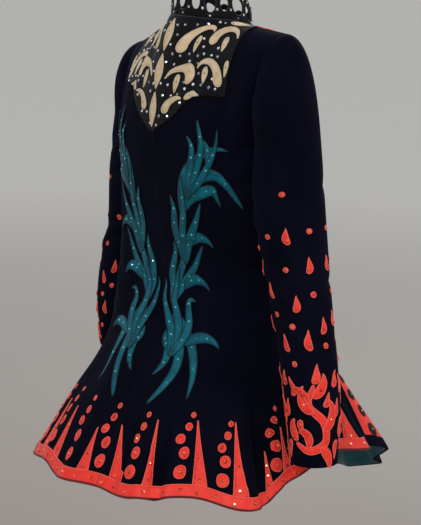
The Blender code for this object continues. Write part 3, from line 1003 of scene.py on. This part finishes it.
# Strips with black discs on each side of the front of the skirt
frontStrip = {
    "angle": 123.5,
    "low": -0.546,
    "high": -0.395,
    "width": 0.04,
    # height over the foot, radius, shift
    "discs": inMetres(((18, 7.8, 1), (42, 7.2, 2.4), (64, 6.4, -2), (84, 5.2, 1), (102, 4, 0))),
}
for hand in (1, -1):
    place = bodyPlace(hand * frontStrip["angle"], frontStrip["low"])
    height, half = frontStrip["high"] - frontStrip["low"], frontStrip["width"] / 2
    right = [(half * (1 - s) ** 0.8, height * s) for s in (0.25, 0.5, 0.75, 0.9)]
    outline = [(-half, 0.004), (half, -0.004)] + right + [(0, height)] + mirrored(right)[::-1]
    orange.sew(outline, bodySurface, place, spacing["strip"])
    for number, (up, radius, shift) in enumerate(frontStrip["discs"]):
        shape = turned(discShape(radius, *discCut, 90 + number), 0, shift, up)
        black.sew(shape, bodySurface, place, spacing["blackDisc"], ((shift, up, stone["blackDisc"]),))
print("hem made")

# Sleeves: drops and rings down the arm, a waving vine at the cuff
# angle round the arm, height of the round foot, length, width, turn
sleeveDrops = inMetres((
    (40, -252, 19, 7.2, 4), (11, -286, 19, 7.2, 2), (-36, -286, 18, 7, -4), (86, -318, 18, 7, -5),
    (43, -331, 19.5, 7.4, 5), (-5, -358, 19.5, 7.4, 3), (-42, -352, 18.5, 7.2, -6),
    (26, -376, 24, 9.2, 6), (70, -379, 20, 7.4, -5), (-84, -322, 18, 7, 4), (-74, -380, 20, 7.4, 6),
    (128, -296, 18, 7, 4), (118, -362, 19, 7.2, -4), (-122, -350, 19, 7.2, 4), (160, -338, 18, 7, 3),
    (-160, -385, 19, 7.2, -4), (150, -392, 19, 7.2, 5),
), 1, 2, 3)
# angle round the arm, height, radius
sleeveRings = inMetres((
    (46, -194, 2.8), (2, -237, 2.8), (74, -245, 2.6), (-41, -237, 2.6), (50, -282, 2.6), (7, -311, 3.1),
    (-51, -313, 2.8), (85, -337, 2.6), (54, -349, 3), (-8, -372, 3), (60, -393, 2.8), (-70, -276, 2.6),
    (-98, -352, 2.8), (112, -262, 2.6), (140, -330, 2.8), (-140, -312, 2.6), (175, -372, 2.8),
    (-52, -392, 2.8),
), 1, 2)
# past the edge of the back the left sleeve has drops and rings of its own
leftSleeve = {
    "span": (66, 146),
    "drops": inMetres(((123, -357, 18, 7, 3), (100, -373, 17, 6.4, -4), (110, -417, 19, 7.2, 5)), 1, 2, 3),
    "rings": inMetres((
        (75, -226, 2.2), (111, -280, 2.8), (92, -318, 2.6), (125, -375, 2.8), (101, -389, 2.6),
        (98, -435, 2.6), (82, -455, 2.2), (124, -442, 2.4),
    ), 1, 2),
}
cuff = {
    # angle round the arm, height, scale
    "left": ((24, -0.451, 1), (132, -0.487, 0.5), (-96, -0.451, 1)),
    "right": ((24, -0.451, 1), (144, -0.451, 1), (-96, -0.451, 1)),
    "stem": inMetres(((-32, -36), (-12, -44), (12, -34), (10, -10), (-10, 10), (-2, 34))),
    "stemWidth": 0.01,
    "hookLayer": 0.0005,
    # foot across and up, length, width, heading, sweep
    "hooks": inMetres((
        (9, -20, 44, 12.5, 62, -115), (-4, 2, 40, 12, -72, 118), (-10, 12, 30, 11, -28, -60),
        (-4, 20, 34, 11.5, 62, -70), (4, -40, 34, 12, 118, 80), (-14, -40, 30, 11, 24, -150),
        (-30, -32, 28, 11, -50, 100),
    ), 0, 1, 2, 3),
    # round foot across and up, length, width, turn
    "drops": inMetres((
        (-1, 36, 24, 10, 12), (29, -6, 22, 9.2, 14), (-32, 20, 22, 9, -12), (27, 30, 20, 8.6, 20),
        (34, -34, 22, 9.2, 188), (-24, -8, 20, 8.6, 168), (12, 8, 18, 8, 20),
    ), 0, 1, 2, 3),
}

for side, word in sides:
    surface, drops, rings = sleeveSurfaces[side], sleeveDrops, sleeveRings
    if word == "left":
        low, high = leftSleeve["span"]
        drops = [drop for drop in drops if not low < drop[0] < high] + leftSleeve["drops"]
        rings = [ring for ring in rings if not low < ring[0] < high] + leftSleeve["rings"]
    for around, z, length, width, turn in drops:
        drop = flameShape(length, width)
        orange.sew(turned(mirrored(drop) if around % 2 == 0 else drop, turn), surface,
                   sleevePlace(side, around, z), spacing["drop"], ((0, length * 0.27, stone["drop"]),))
    for around, z, radius in rings:
        orangeDiscs.sew(discShape(radius, *ringCut, around), surface, sleevePlace(side, around, z),
                        spacing["ring"], ((0, 0, stone["ring"]),))
    for centre, z, scale in cuff[word]:
        place = sleevePlace(side, centre, z)
        stem = smoothLine([(x * scale, y * scale) for x, y in cuff["stem"]], 8)
        widths = [scale * cuff["stemWidth"] * (0.16 + 0.84 * sin(pi * k / (len(stem) - 1)) ** 0.6)
                  for k in range(len(stem))]
        orange.sew(ribbonShape(stem, widths), surface, place, spacing["vine"])
        for *sizes, turn, sweep in cuff["hooks"]:
            x, y, length, width = (value * scale for value in sizes)
            middle = turned([(sin(radians(sweep * 0.12)) * length * 0.4, length * 0.4)], turn, x, y)[0]
            orange.sew(turned(hookShape(length, width, sweep), turn, x, y), surface, place,
                       spacing["vine"], ((*middle, stone["vine"]),), cuff["hookLayer"])
        for *sizes, turn in cuff["drops"]:
            x, y, length, width = (value * scale for value in sizes)
            middle = turned([(0, length * 0.28)], turn, x, y)[0]
            orange.sew(turned(flameShape(length, width), turn, x, y), surface, place, spacing["drop"],
                       ((*middle, stone["vine"]),))

shoulder = {
    "share": 0.64,
    "metresPerShare": 0.195,
    "metresPerRise": 0.17,
    # leaves on the front: foot across and down, length, width, turn
    "leaves": inMetres(((0, 4, 34, 12, 20), (16, 10, 26, 10, 50)), 0, 1, 2, 3),
    "stoneAcross": 0.004,
    "stoneDown": 0.012,
}
for side in (1, -1):
    def shoulderPlace(x, y, side=side):
        share = shoulder["share"] + x / shoulder["metresPerShare"]
        return upperPoint(side, share, False, 1 - y / shoulder["metresPerRise"])

    for x, y, length, width, turn in shoulder["leaves"]:
        leaf = turned(leafShape(length, width, 0.25, 0.7), turn, x, y)
        orange.sew(leaf, bodySurface, shoulderPlace, spacing["leaf"],
                   ((x + shoulder["stoneAcross"], y + shoulder["stoneDown"], stone["leaf"]),))
for group in (orange, orangeDiscs, black, piping):
    group.finish()

# Back: two tall plumes of long blades, mirrored about the centre seam
teal = SewnOn("tealPlumes", "tealSatin", "tealStitch", "teal", thickness=0.0005, lift=0.0007,
              bead=0.00055, stone="aquaCrystal", stoneLift=0.0007)
# line across and up, width, layer, blades: start, stop, place across the plume, flare, hook
plumes = (
    (((24, -358), (38, -390), (40, -424), (22, -462)), 0.038, 0, (
        (0, 0.8, -1, 0.4, -0.012), (0.02, 1, 0, 0.1, 0), (0.02, 0.8, 1, 0.2, 0.005))),
    (((30, -410), (34, -376), (24, -342), (34, -306)), 0.036, 0.0009, (
        (0, 0.78, -1, 0.2, -0.006), (0.02, 1, 0, 0.1, -0.002), (0, 0.7, 1, 0.6, 0.016))),
    (((22, -352), (30, -318), (46, -286), (52, -250)), 0.038, 0, (
        (0, 0.74, -1, 0.2, -0.006), (0.02, 1, 0, 0.1, 0.002), (0.04, 0.82, 1, 0.5, 0.014))),
    (((46, -300), (50, -262), (62, -228), (64, -188)), 0.043, 0.0009, (
        (0, 0.76, -1, 0.3, -0.008), (0.02, 1, 0, 0.1, -0.004), (0.02, 0.76, 1, 0.3, 0.012))),
    (((54, -238), (80, -198), (124, -182), (166, -220)), 0.048, 0, (
        (0.02, 0.7, -1, 0.5, -0.012), (0, 1, 0, 0.1, 0.004), (0.04, 0.84, 1, 0.2, 0.01))),
    (((70, -214), (90, -180), (100, -148), (92, -118)), 0.036, 0.0009, (
        (0, 0.84, -1, 0.3, -0.008), (0.02, 1, 0, 0.1, 0), (0, 0.78, 1, 0.5, 0.014))),
)
# single hooked leaves beside them: foot across and height, length, width, heading, sweep
hookLeaves = inMetres((
    (46, -396, 50, 12.5, 44, 110), (40, -330, 50, 13, 34, 125), (58, -276, 52, 12.5, 34, 125),
    (28, -402, 24, 8.5, -55, 60), (108, -180, 46, 12, 26, -90),
), 0, 1, 2, 3)
plumeCentre = (20, -0.3)  # angle, height
seamMargin = 0.0028
bladeGap = 0.0016
hookLeafLayer = 0.0004
# points along a blade and along a hooked leaf that carry a crystal
bladeStones, hookLeafStones = (8, 14, 20), (9, 16)

for hand in (1, -1):
    size = degreeLength(*plumeCentre)

    def plumePlace(x, y, hand=hand):
        return bodySpot(hand * max(x, seamMargin) / size, y)

    for line, width, layer, blades in plumes:
        line = smoothLine(inMetres(line), 12)
        for start, stop, across, flare, hook in blades:
            offset = across * width * (len(blades) - 1) / len(blades) / 2
            shape, path = strandShape(line, start, stop, offset, width / len(blades) - bladeGap, flare, hook)
            stones = [(*path[n], stone["plume"]) for n in bladeStones]
            teal.sew(shape, bodySurface, plumePlace, spacing["plume"], stones, layer)
    for x, z, length, width, turn, sweep in hookLeaves:
        shape = turned(hookShape(length, width, sweep), turn, x, z)
        stones = [(*acrossMiddle(shape, n), stone["plume"]) for n in hookLeafStones]
        teal.sew(shape, bodySurface, plumePlace, spacing["plume"], stones, hookLeafLayer)
teal.finish()

# Yoke: black satin with cream shapes
yoke = {
    "share": 0.6875,
    "columns": 40,
    "rows": 44,
    "lift": 0.0013,
    "wall": 0.001,
    # share of the panel's width, height of the lower edge
    "edge": ((0, -0.142), (0.2, -0.119), (0.38, -0.094), (0.69, -0.089)),
    "metresPerShare": 0.195,
    "spread": 1.1,
    "flat": (0.125, 0.15),
}
yokeForms, yokeFields = [], {}
for side in (1, -1):
    columns = []
    for k in range(yoke["columns"] + 1):
        share = yoke["share"] * k / yoke["columns"]
        low = riseAt(side, share, True, readTable(yoke["edge"], share, 1), 20)[0]
        columns.append([upperPoint(side, share, True, mix(low, 1, rise)) for rise in shares(yoke["rows"])])
    yokeFields[side] = laid(bodySurface, columns, yoke["lift"])
    yokeForms.append(gridForm(yokeFields[side], None, False, side < 0))
yokeSurface = surfaceOf(*yokeForms)
for form, (_, word) in zip(yokeForms, sides):
    finishCloth("yoke" + word.capitalize(), form, yoke["wall"], "blackSatin", "yoke_" + word, None)


def downFrom(column, distance):
    # the point of a column at a distance down from its top
    for a, b in zip(column[::-1], column[-2::-1]):
        step = (b - a).length
        if distance <= step:
            return a.lerp(b, distance / step)
        distance -= step
    return column[0]


def yokePlace(x, y):
    # x metres from the centre seam toward the wearer's right, y metres down from the top edge
    columns = yokeFields[-1 if x >= 0 else 1]
    place = min(abs(x) / yoke["metresPerShare"] / yoke["share"], 1) * yoke["columns"]
    k = min(int(place), yoke["columns"] - 1)
    y = max(y, 0)
    return downFrom(columns[k], y).lerp(downFrom(columns[k + 1], y), place - k)


cream = SewnOn("creamShapes", "creamSatin", "creamStitch", "cream")
creamShapes = []
# lozenges down the seam: start and end below the neck, width
for start, stop, width in inMetres(((4, 46, 13.2), (50, 94, 14.8), (98, 141, 12.4))):
    creamShapes.append(turned(leafShape(stop - start, width, 0, 0, 1), 0, 0, start))
# commas: head across and down, length, width, heading, sweep
creamCommas = inMetres((
    (24.5, 46, 68, 14.2, 184, -160), (77, 47, 62, 13.8, 186, -158), (57, 94.5, 66, 14.2, 176, 162),
    (106, 94, 60, 13.8, 178, 158), (20.5, 122, 38, 10.8, 176, -130),
), 0, 1, 2, 3)
# drops under the commas and leaves in the gaps: foot across and down, length, width, turn, bend
creamDrops = inMetres((
    (49, 29, 22, 9.2, 0, 0), (100, 32, 20, 8.8, 0, 0), (32, 74, 23, 9.2, 0, 0), (82, 76, 21, 8.8, 0, 0),
    (54, 111, 24, 8, 80, 0.1), (116, 60, 20, 7, 0, 0), (80, 8, 34, 7.5, 90, 0.06),
), 0, 1, 2, 3)
paired = [turned(commaShape(length, width, sweep), turn, x, y)
          for x, y, length, width, turn, sweep in creamCommas]
paired += [turned(leafShape(length, width, bend, 0.6), turn, x, y)
           for x, y, length, width, turn, bend in creamDrops]
for shape in paired:
    shape = [(x * yoke["spread"], y) for x, y in shape]
    creamShapes += [shape, mirrored(shape)]
for shape in creamShapes:
    cream.sew(shape, yokeSurface, yokePlace, spacing["cream"])
cream.finish()
print("yoke made")


# Crystals: points carry their facing and size, and the node tree sets a cut stone on each

def crystalTree(kind):
    tree = bpy.data.node_groups.new(kind + "Setting", "GeometryNodeTree")
    tree.interface.new_socket("Geometry", in_out="INPUT", socket_type="NodeSocketGeometry")
    values = {}
    for name, number, value in (("Sides", "Int", 8), ("Table", "Float", 0.58), ("Height", "Float", 0.44)):
        socket = tree.interface.new_socket(name, in_out="INPUT", socket_type="NodeSocket" + number)
        values[socket.identifier] = value
    tree.interface.new_socket("Geometry", in_out="OUTPUT", socket_type="NodeSocketGeometry")
    given = tree.nodes.new("NodeGroupInput").outputs
    facing = addNode(tree, "GeometryNodeInputNamedAttribute", {"data_type": "FLOAT_VECTOR"}, Name="facing")
    size = addNode(tree, "GeometryNodeInputNamedAttribute", {"data_type": "FLOAT"}, Name="size")
    cone = addNode(tree, "GeometryNodeMeshCone", {"fill_type": "NGON"}, Radius_Bottom=1,
                   Vertices=given["Sides"], Radius_Top=given["Table"], Depth=given["Height"])
    align = addNode(tree, "FunctionNodeAlignRotationToVector", {"axis": "Z"}, Vector=facing)
    spin = addNode(tree, "FunctionNodeRandomValue", {"data_type": "FLOAT"}, Min=0, Max=tau, Seed=7)
    around = addNode(tree, "FunctionNodeAxisAngleToRotation", Axis=(0, 0, 1), Angle=spin)
    turn = addNode(tree, "FunctionNodeRotateRotation", {"rotation_space": "LOCAL"}, Rotation=align,
                   Rotate_By=around)
    scatter = addNode(tree, "GeometryNodeInstanceOnPoints", Points=given["Geometry"], Instance=cone,
                      Rotation=turn, Scale=size)
    stones = addNode(tree, "GeometryNodeRealizeInstances", Geometry=scatter)
    cut = addNode(tree, "GeometryNodeSetMaterial", Geometry=stones, Material=materials[kind])
    addNode(tree, "NodeGroupOutput", Geometry=cut)
    return tree, values


def setStones(kind, spots):
    places, facings, sizes = zip(*spots)
    points = bpy.data.meshes.new(kind + "Points")
    points.from_pydata(places, [], [])
    points.attributes.new("facing", "FLOAT_VECTOR", "POINT").data.foreach_set(
        "vector", [value for facing in facings for value in facing])
    points.attributes.new("size", "FLOAT", "POINT").data.foreach_set("value", sizes)
    holder = linkPiece(kind + "Holder", points)
    modifier = holder.modifiers.new("stones", "NODES")
    modifier.node_group, values = crystalTree(kind)
    for identifier, value in values.items():
        modifier[identifier] = value
    depsgraph = bpy.context.evaluated_depsgraph_get()
    mesh = bpy.data.meshes.new_from_object(holder.evaluated_get(depsgraph))
    for name in ("facing", "size"):
        if name in mesh.attributes:
            mesh.attributes.remove(mesh.attributes[name])
    bpy.data.objects.remove(holder, do_unlink=True)
    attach(linkPiece(kind + "Stones", mesh), "root")
    print(kind, len(spots))


# Collar: openwork loops with corded edges
collar = {
    "height": 0.034,
    "loops": 8,
    "lean": 0.003,
    "step": 0.0016,
    "end": 0.004,
    "wall": 0.0015,
    "holeCentre": 0.54,
    "wideHole": 0.42,
    "narrowHole": 0.33,
    "holeUp": 0.285,
    "holeDown": 0.335,
    "shoulder": 0.62,
    "cornerPower": 2.3,
    "parts": 48,
    "rings": 5,
    "puff": 0.0005,
    "thread": (0.0009, 0.001),  # half width, height
    "binding": (0.002, 0.0026),
    "bindingInset": 0.0016,
    "holeParts": 40,
    "archParts": 20,
    "archSpan": (0.03, 0.47),  # shares of a turn
    "crystalLift": 0.0003,
    # across and up a loop, radius
    "crystals": ((0, 0.915, 0.0015), (0.5, 0.34, 0.002), (0, 0.1, 0.0016)),
    "flat": (0.16, 0.036),
    "area": 0.0032,
}
loopWidth = (1 - 2 * collar["end"]) / collar["loops"]


def collarPoint(side, share, rise):
    back = share <= 0.5
    base = topPoint(side, top["neckShare"] * (2 * share if back else 2 - 2 * share), back)
    outward = Vector((base.x, base.y - top["neckCentreY"], 0)).normalized()
    point = base - outward * (collar["lean"] * rise / collar["height"])
    point.z += rise + collar["step"]
    return point, outward


def loopEdge(angle):
    # distance from the hole's centre to the loop's outer edge, in shares of width and height
    c, s = cos(angle), sin(angle)
    reach = min(0.5 / max(abs(c), 1e-6), collar["holeCentre"] / max(-s, 1e-6))
    if s > 0:
        # the scalloped top is half an ellipse over the shoulders
        low = collar["shoulder"] - collar["holeCentre"]
        tall = 1 - collar["shoulder"]
        a = (c / 0.5) ** 2 + (s / tall) ** 2
        b = -2 * s * low / tall ** 2
        d = (low / tall) ** 2 - 1
        arch = (-b + sqrt(max(b * b - 4 * a * d, 0))) / (2 * a)
        if arch * s >= low:
            reach = min(reach, arch)
    return reach


def loopHole(angle, wide):
    # every other hole is wide, and narrower toward its foot
    c, s = cos(angle), sin(angle)
    tall = (collar["holeUp"] if s > 0 else collar["holeDown"]) * (1 if wide else 0.8)
    half = (collar["wideHole"] if wide else collar["narrowHole"]) * (1 + 0.16 * s)
    power = collar["cornerPower"]
    return 1 / ((abs(c) / half) ** power + (abs(s) / tall) ** power) ** (1 / power)


def loopSpot(middle, angle, reach):
    # share round the collar and rise of a place on a loop
    up = collar["holeCentre"] + reach * sin(angle)
    return middle + reach * cos(angle) * loopWidth, up * collar["height"]


collarThread = SewnOn("collar", "blackSatin", "blackStitch", "lace")
for side, word in sides:
    form = newForm()
    for loop in range(collar["loops"]):
        middle = collar["end"] + (loop + 0.5) * loopWidth
        wide = loop % 2 == 0
        rings = []
        for depth in shares(collar["rings"] - 1):
            corners = []
            for a in (tau * (k + 0.5) / collar["parts"] for k in range(collar["parts"])):
                share, rise = loopSpot(middle, a, mix(loopEdge(a), loopHole(a, wide), depth))
                point, outward = collarPoint(side, share, rise)
                puffed = point + outward * (collar["puff"] * sin(pi * depth))
                corners.append((form.verts.new(puffed), (share * collar["flat"][0], rise)))
            rings.append(corners)
        for outer, inner in zip(rings, rings[1:]):
            for k in range(collar["parts"]):
                n = (k + 1) % collar["parts"]
                corners = [outer[k], outer[n], inner[n], inner[k]]
                addFace(form, corners if side < 0 else corners[::-1])
        # threads round the hole and over the scallop
        hole = [(tau * share, loopHole(tau * share, wide)) for share in shares(collar["holeParts"])[:-1]]
        arch = [(a, loopEdge(a)) for a in (tau * mix(*collar["archSpan"], share)
                                           for share in shares(collar["archParts"]))]
        for line in (hole, arch):
            spots = [collarPoint(side, *loopSpot(middle, a, reach)) for a, reach in line]
            addCord(collarThread.cords, spots, *collar["thread"], line is hole)
        for across, up, radius in collar["crystals"]:
            if (loop == collar["loops"] - 1 and across == 0.5) or (not wide and up < 0.2):
                continue
            point, outward = collarPoint(side, middle + across * loopWidth, up * collar["height"])
            crystalSpots["clearCrystal"].append((point + outward * collar["crystalLift"], outward, radius))
    bmesh.ops.remove_doubles(form, verts=form.verts, dist=0.0001)
    bmesh.ops.recalc_face_normals(form, faces=form.faces)
    form.normal_update()
    probe = form.faces[0]
    centre = probe.calc_center_median()
    if probe.normal.dot(Vector((centre.x, centre.y - top["neckCentreY"], 0))) < 0:
        bmesh.ops.reverse_faces(form, faces=form.faces)
    finishCloth("collar" + word.capitalize(), form, collar["wall"], "blackSatin", "collar_" + word,
                None)
binding = []
for side in (1, -1):
    for share in shares(48)[:-1]:
        point, outward = collarPoint(side, share if side > 0 else 1 - share, -collar["step"] * 0.5)
        binding.append((point - outward * collar["bindingInset"], outward))
addCord(collarThread.cords, binding, *collar["binding"])
collarThread.finish()
print("collar made")

# Clear crystals over the black of the yoke and along the cream shapes
clear = {
    "step": (0.0142, 0.0128),
    "across": (-0.12, 0.121),
    "down": (0.01, 0.15),
    "stagger": 0.007,
    "stray": 0.002,
    "margin": 0.0028,
    "edgeShare": 0.02,
    "edgeMargin": 0.004,
    "radii": (0.0019, 0.0022, 0.002),
    "lift": 0.0001,
    "creamRadius": 0.0013,
    "creamLift": 0.0009,
}
draw = random.Random(4)
stray = clear["stray"]
row, (y, bottom) = 0, clear["down"]
while y < bottom:
    x = clear["across"][0] + (clear["stagger"] if row % 2 else 0)
    while x < clear["across"][1]:
        px, py = x + draw.uniform(-stray, stray), y + draw.uniform(-stray, stray)
        onBlack = all(outlineDistance(shape, px, py) > clear["margin"] and not insideOutline(shape, px, py)
                      for shape in creamShapes)
        share = abs(px) / yoke["metresPerShare"]
        column = min(int(share / yoke["share"] * yoke["columns"]), yoke["columns"])
        length = columnLevels(yokeFields[-1][column])[-1]
        if onBlack and share < yoke["share"] - clear["edgeShare"] and py < length - clear["edgeMargin"]:
            radius = draw.choice(clear["radii"])
            setCrystal("clearCrystal", yokeSurface, yokePlace(px, py), radius, clear["lift"])
        x += clear["step"][0]
    y += clear["step"][1]
    row += 1
for shape in creamShapes:
    for k in (len(shape) // 5, len(shape) // 2):
        middle = acrossMiddle(shape, k)
        if insideOutline(shape, *middle):
            setCrystal("clearCrystal", yokeSurface, yokePlace(*middle), clear["creamRadius"],
                       clear["creamLift"])

for kind, spots in crystalSpots.items():
    setStones(kind, spots)

# Studio: floor, light and camera
studio = {
    "floorZ": -1.3,
    "floorRadius": 60,
    # near and far: floor colours close to the dress and far off; darker near as painted shade under the
    # dress, lighter far off as painted light
    "near": (0.243, 0.209, 0.192),
    "far": (0.632, 0.611, 0.553),
    "centre": (0.75, 1.3, 0),
    "nearRadius": 1,
    "farRadius": 6.9,
    "cameraDistance": 2.4,
    "cameraAngle": 60,
    "cameraZ": 0.16,
    "aim": (0, 0, -0.33),
    "lens": 87.48,
    "sensorHeight": 24,
    "shift": (-4.5 / 525, 11.85 / 525),
    "sky": (0.93, 0.95, 1, 1),
    "skyStrength": 0.75,
}


# the floor's colour runs from dark near the dress to light far off: painted shade and painted light by
# distance
def paintedFalloffFloor(name):
    made, tree = startMaterial(name, studio["far"], 0.95, Specular_IOR_Level=0.05)
    distance = addNode(tree, "ShaderNodeVectorMath", {"operation": "DISTANCE"})
    distance.node.inputs[1].default_value = studio["centre"]
    tree.links.new(coordinates(tree, "Object", even), distance.node.inputs[0])
    spread = addNode(tree, "ShaderNodeMapRange", Value=distance, From_Min=studio["nearRadius"],
                     From_Max=studio["farRadius"])
    return paint(made, spread, studio["near"], studio["far"], 0, 1)


def aimed(name, data, place, aim):
    aimedObject = linkPiece(name, data)
    aimedObject.location = place
    aimedObject.rotation_euler = (Vector(aim) - Vector(place)).to_track_quat("-Z", "Y").to_euler()
    return aimedObject


bpy.ops.mesh.primitive_circle_add(vertices=96, radius=studio["floorRadius"], fill_type="NGON",
                                  location=(0, 0, studio["floorZ"]))
floor = bpy.context.object
floor.name = "studioFloor"
floor.data.materials.append(paintedFalloffFloor("studioFloorPaintedFalloff"))

world = bpy.data.worlds.new("studioWorld")
bpy.context.scene.world = world
world.use_nodes = True
setInputs(world.node_tree, world.node_tree.nodes["Background"], Color=studio["sky"],
          Strength=studio["skyStrength"])

# name, place, aim, size in metres, power in watts, colour
for name, place, aim, size, power, colour in (
        ("keyLight", (-2.6, 2.6, 1.9), (0, 0, -0.3), 1.2, 60, (1, 0.98, 0.95)),
        ("fillLight", (-2.4, -1.2, 0.9), (0, 0, -0.3), 1.6, 22, (0.95, 0.97, 1)),
        ("rimLight", (2.2, -1.6, 1.6), (0, 0, -0.2), 1.4, 26, (1, 1, 1))):
    light = bpy.data.lights.new(name, "AREA")
    light.shape = "DISK"
    light.size = size
    light.energy = power
    light.color = colour
    aimed(name, light, place, aim)

camera = bpy.data.cameras.new("photoCamera")
camera.sensor_fit = "VERTICAL"
camera.sensor_height = studio["sensorHeight"]
camera.lens = studio["lens"]
camera.shift_x, camera.shift_y = studio["shift"]
distance, turn = studio["cameraDistance"], radians(studio["cameraAngle"])
cameraPlace = (-distance * sin(turn), distance * cos(turn), studio["cameraZ"])
bpy.context.scene.camera = aimed("photoCamera", camera, cameraPlace, studio["aim"])
bpy.context.scene.view_settings.view_transform = "Standard"
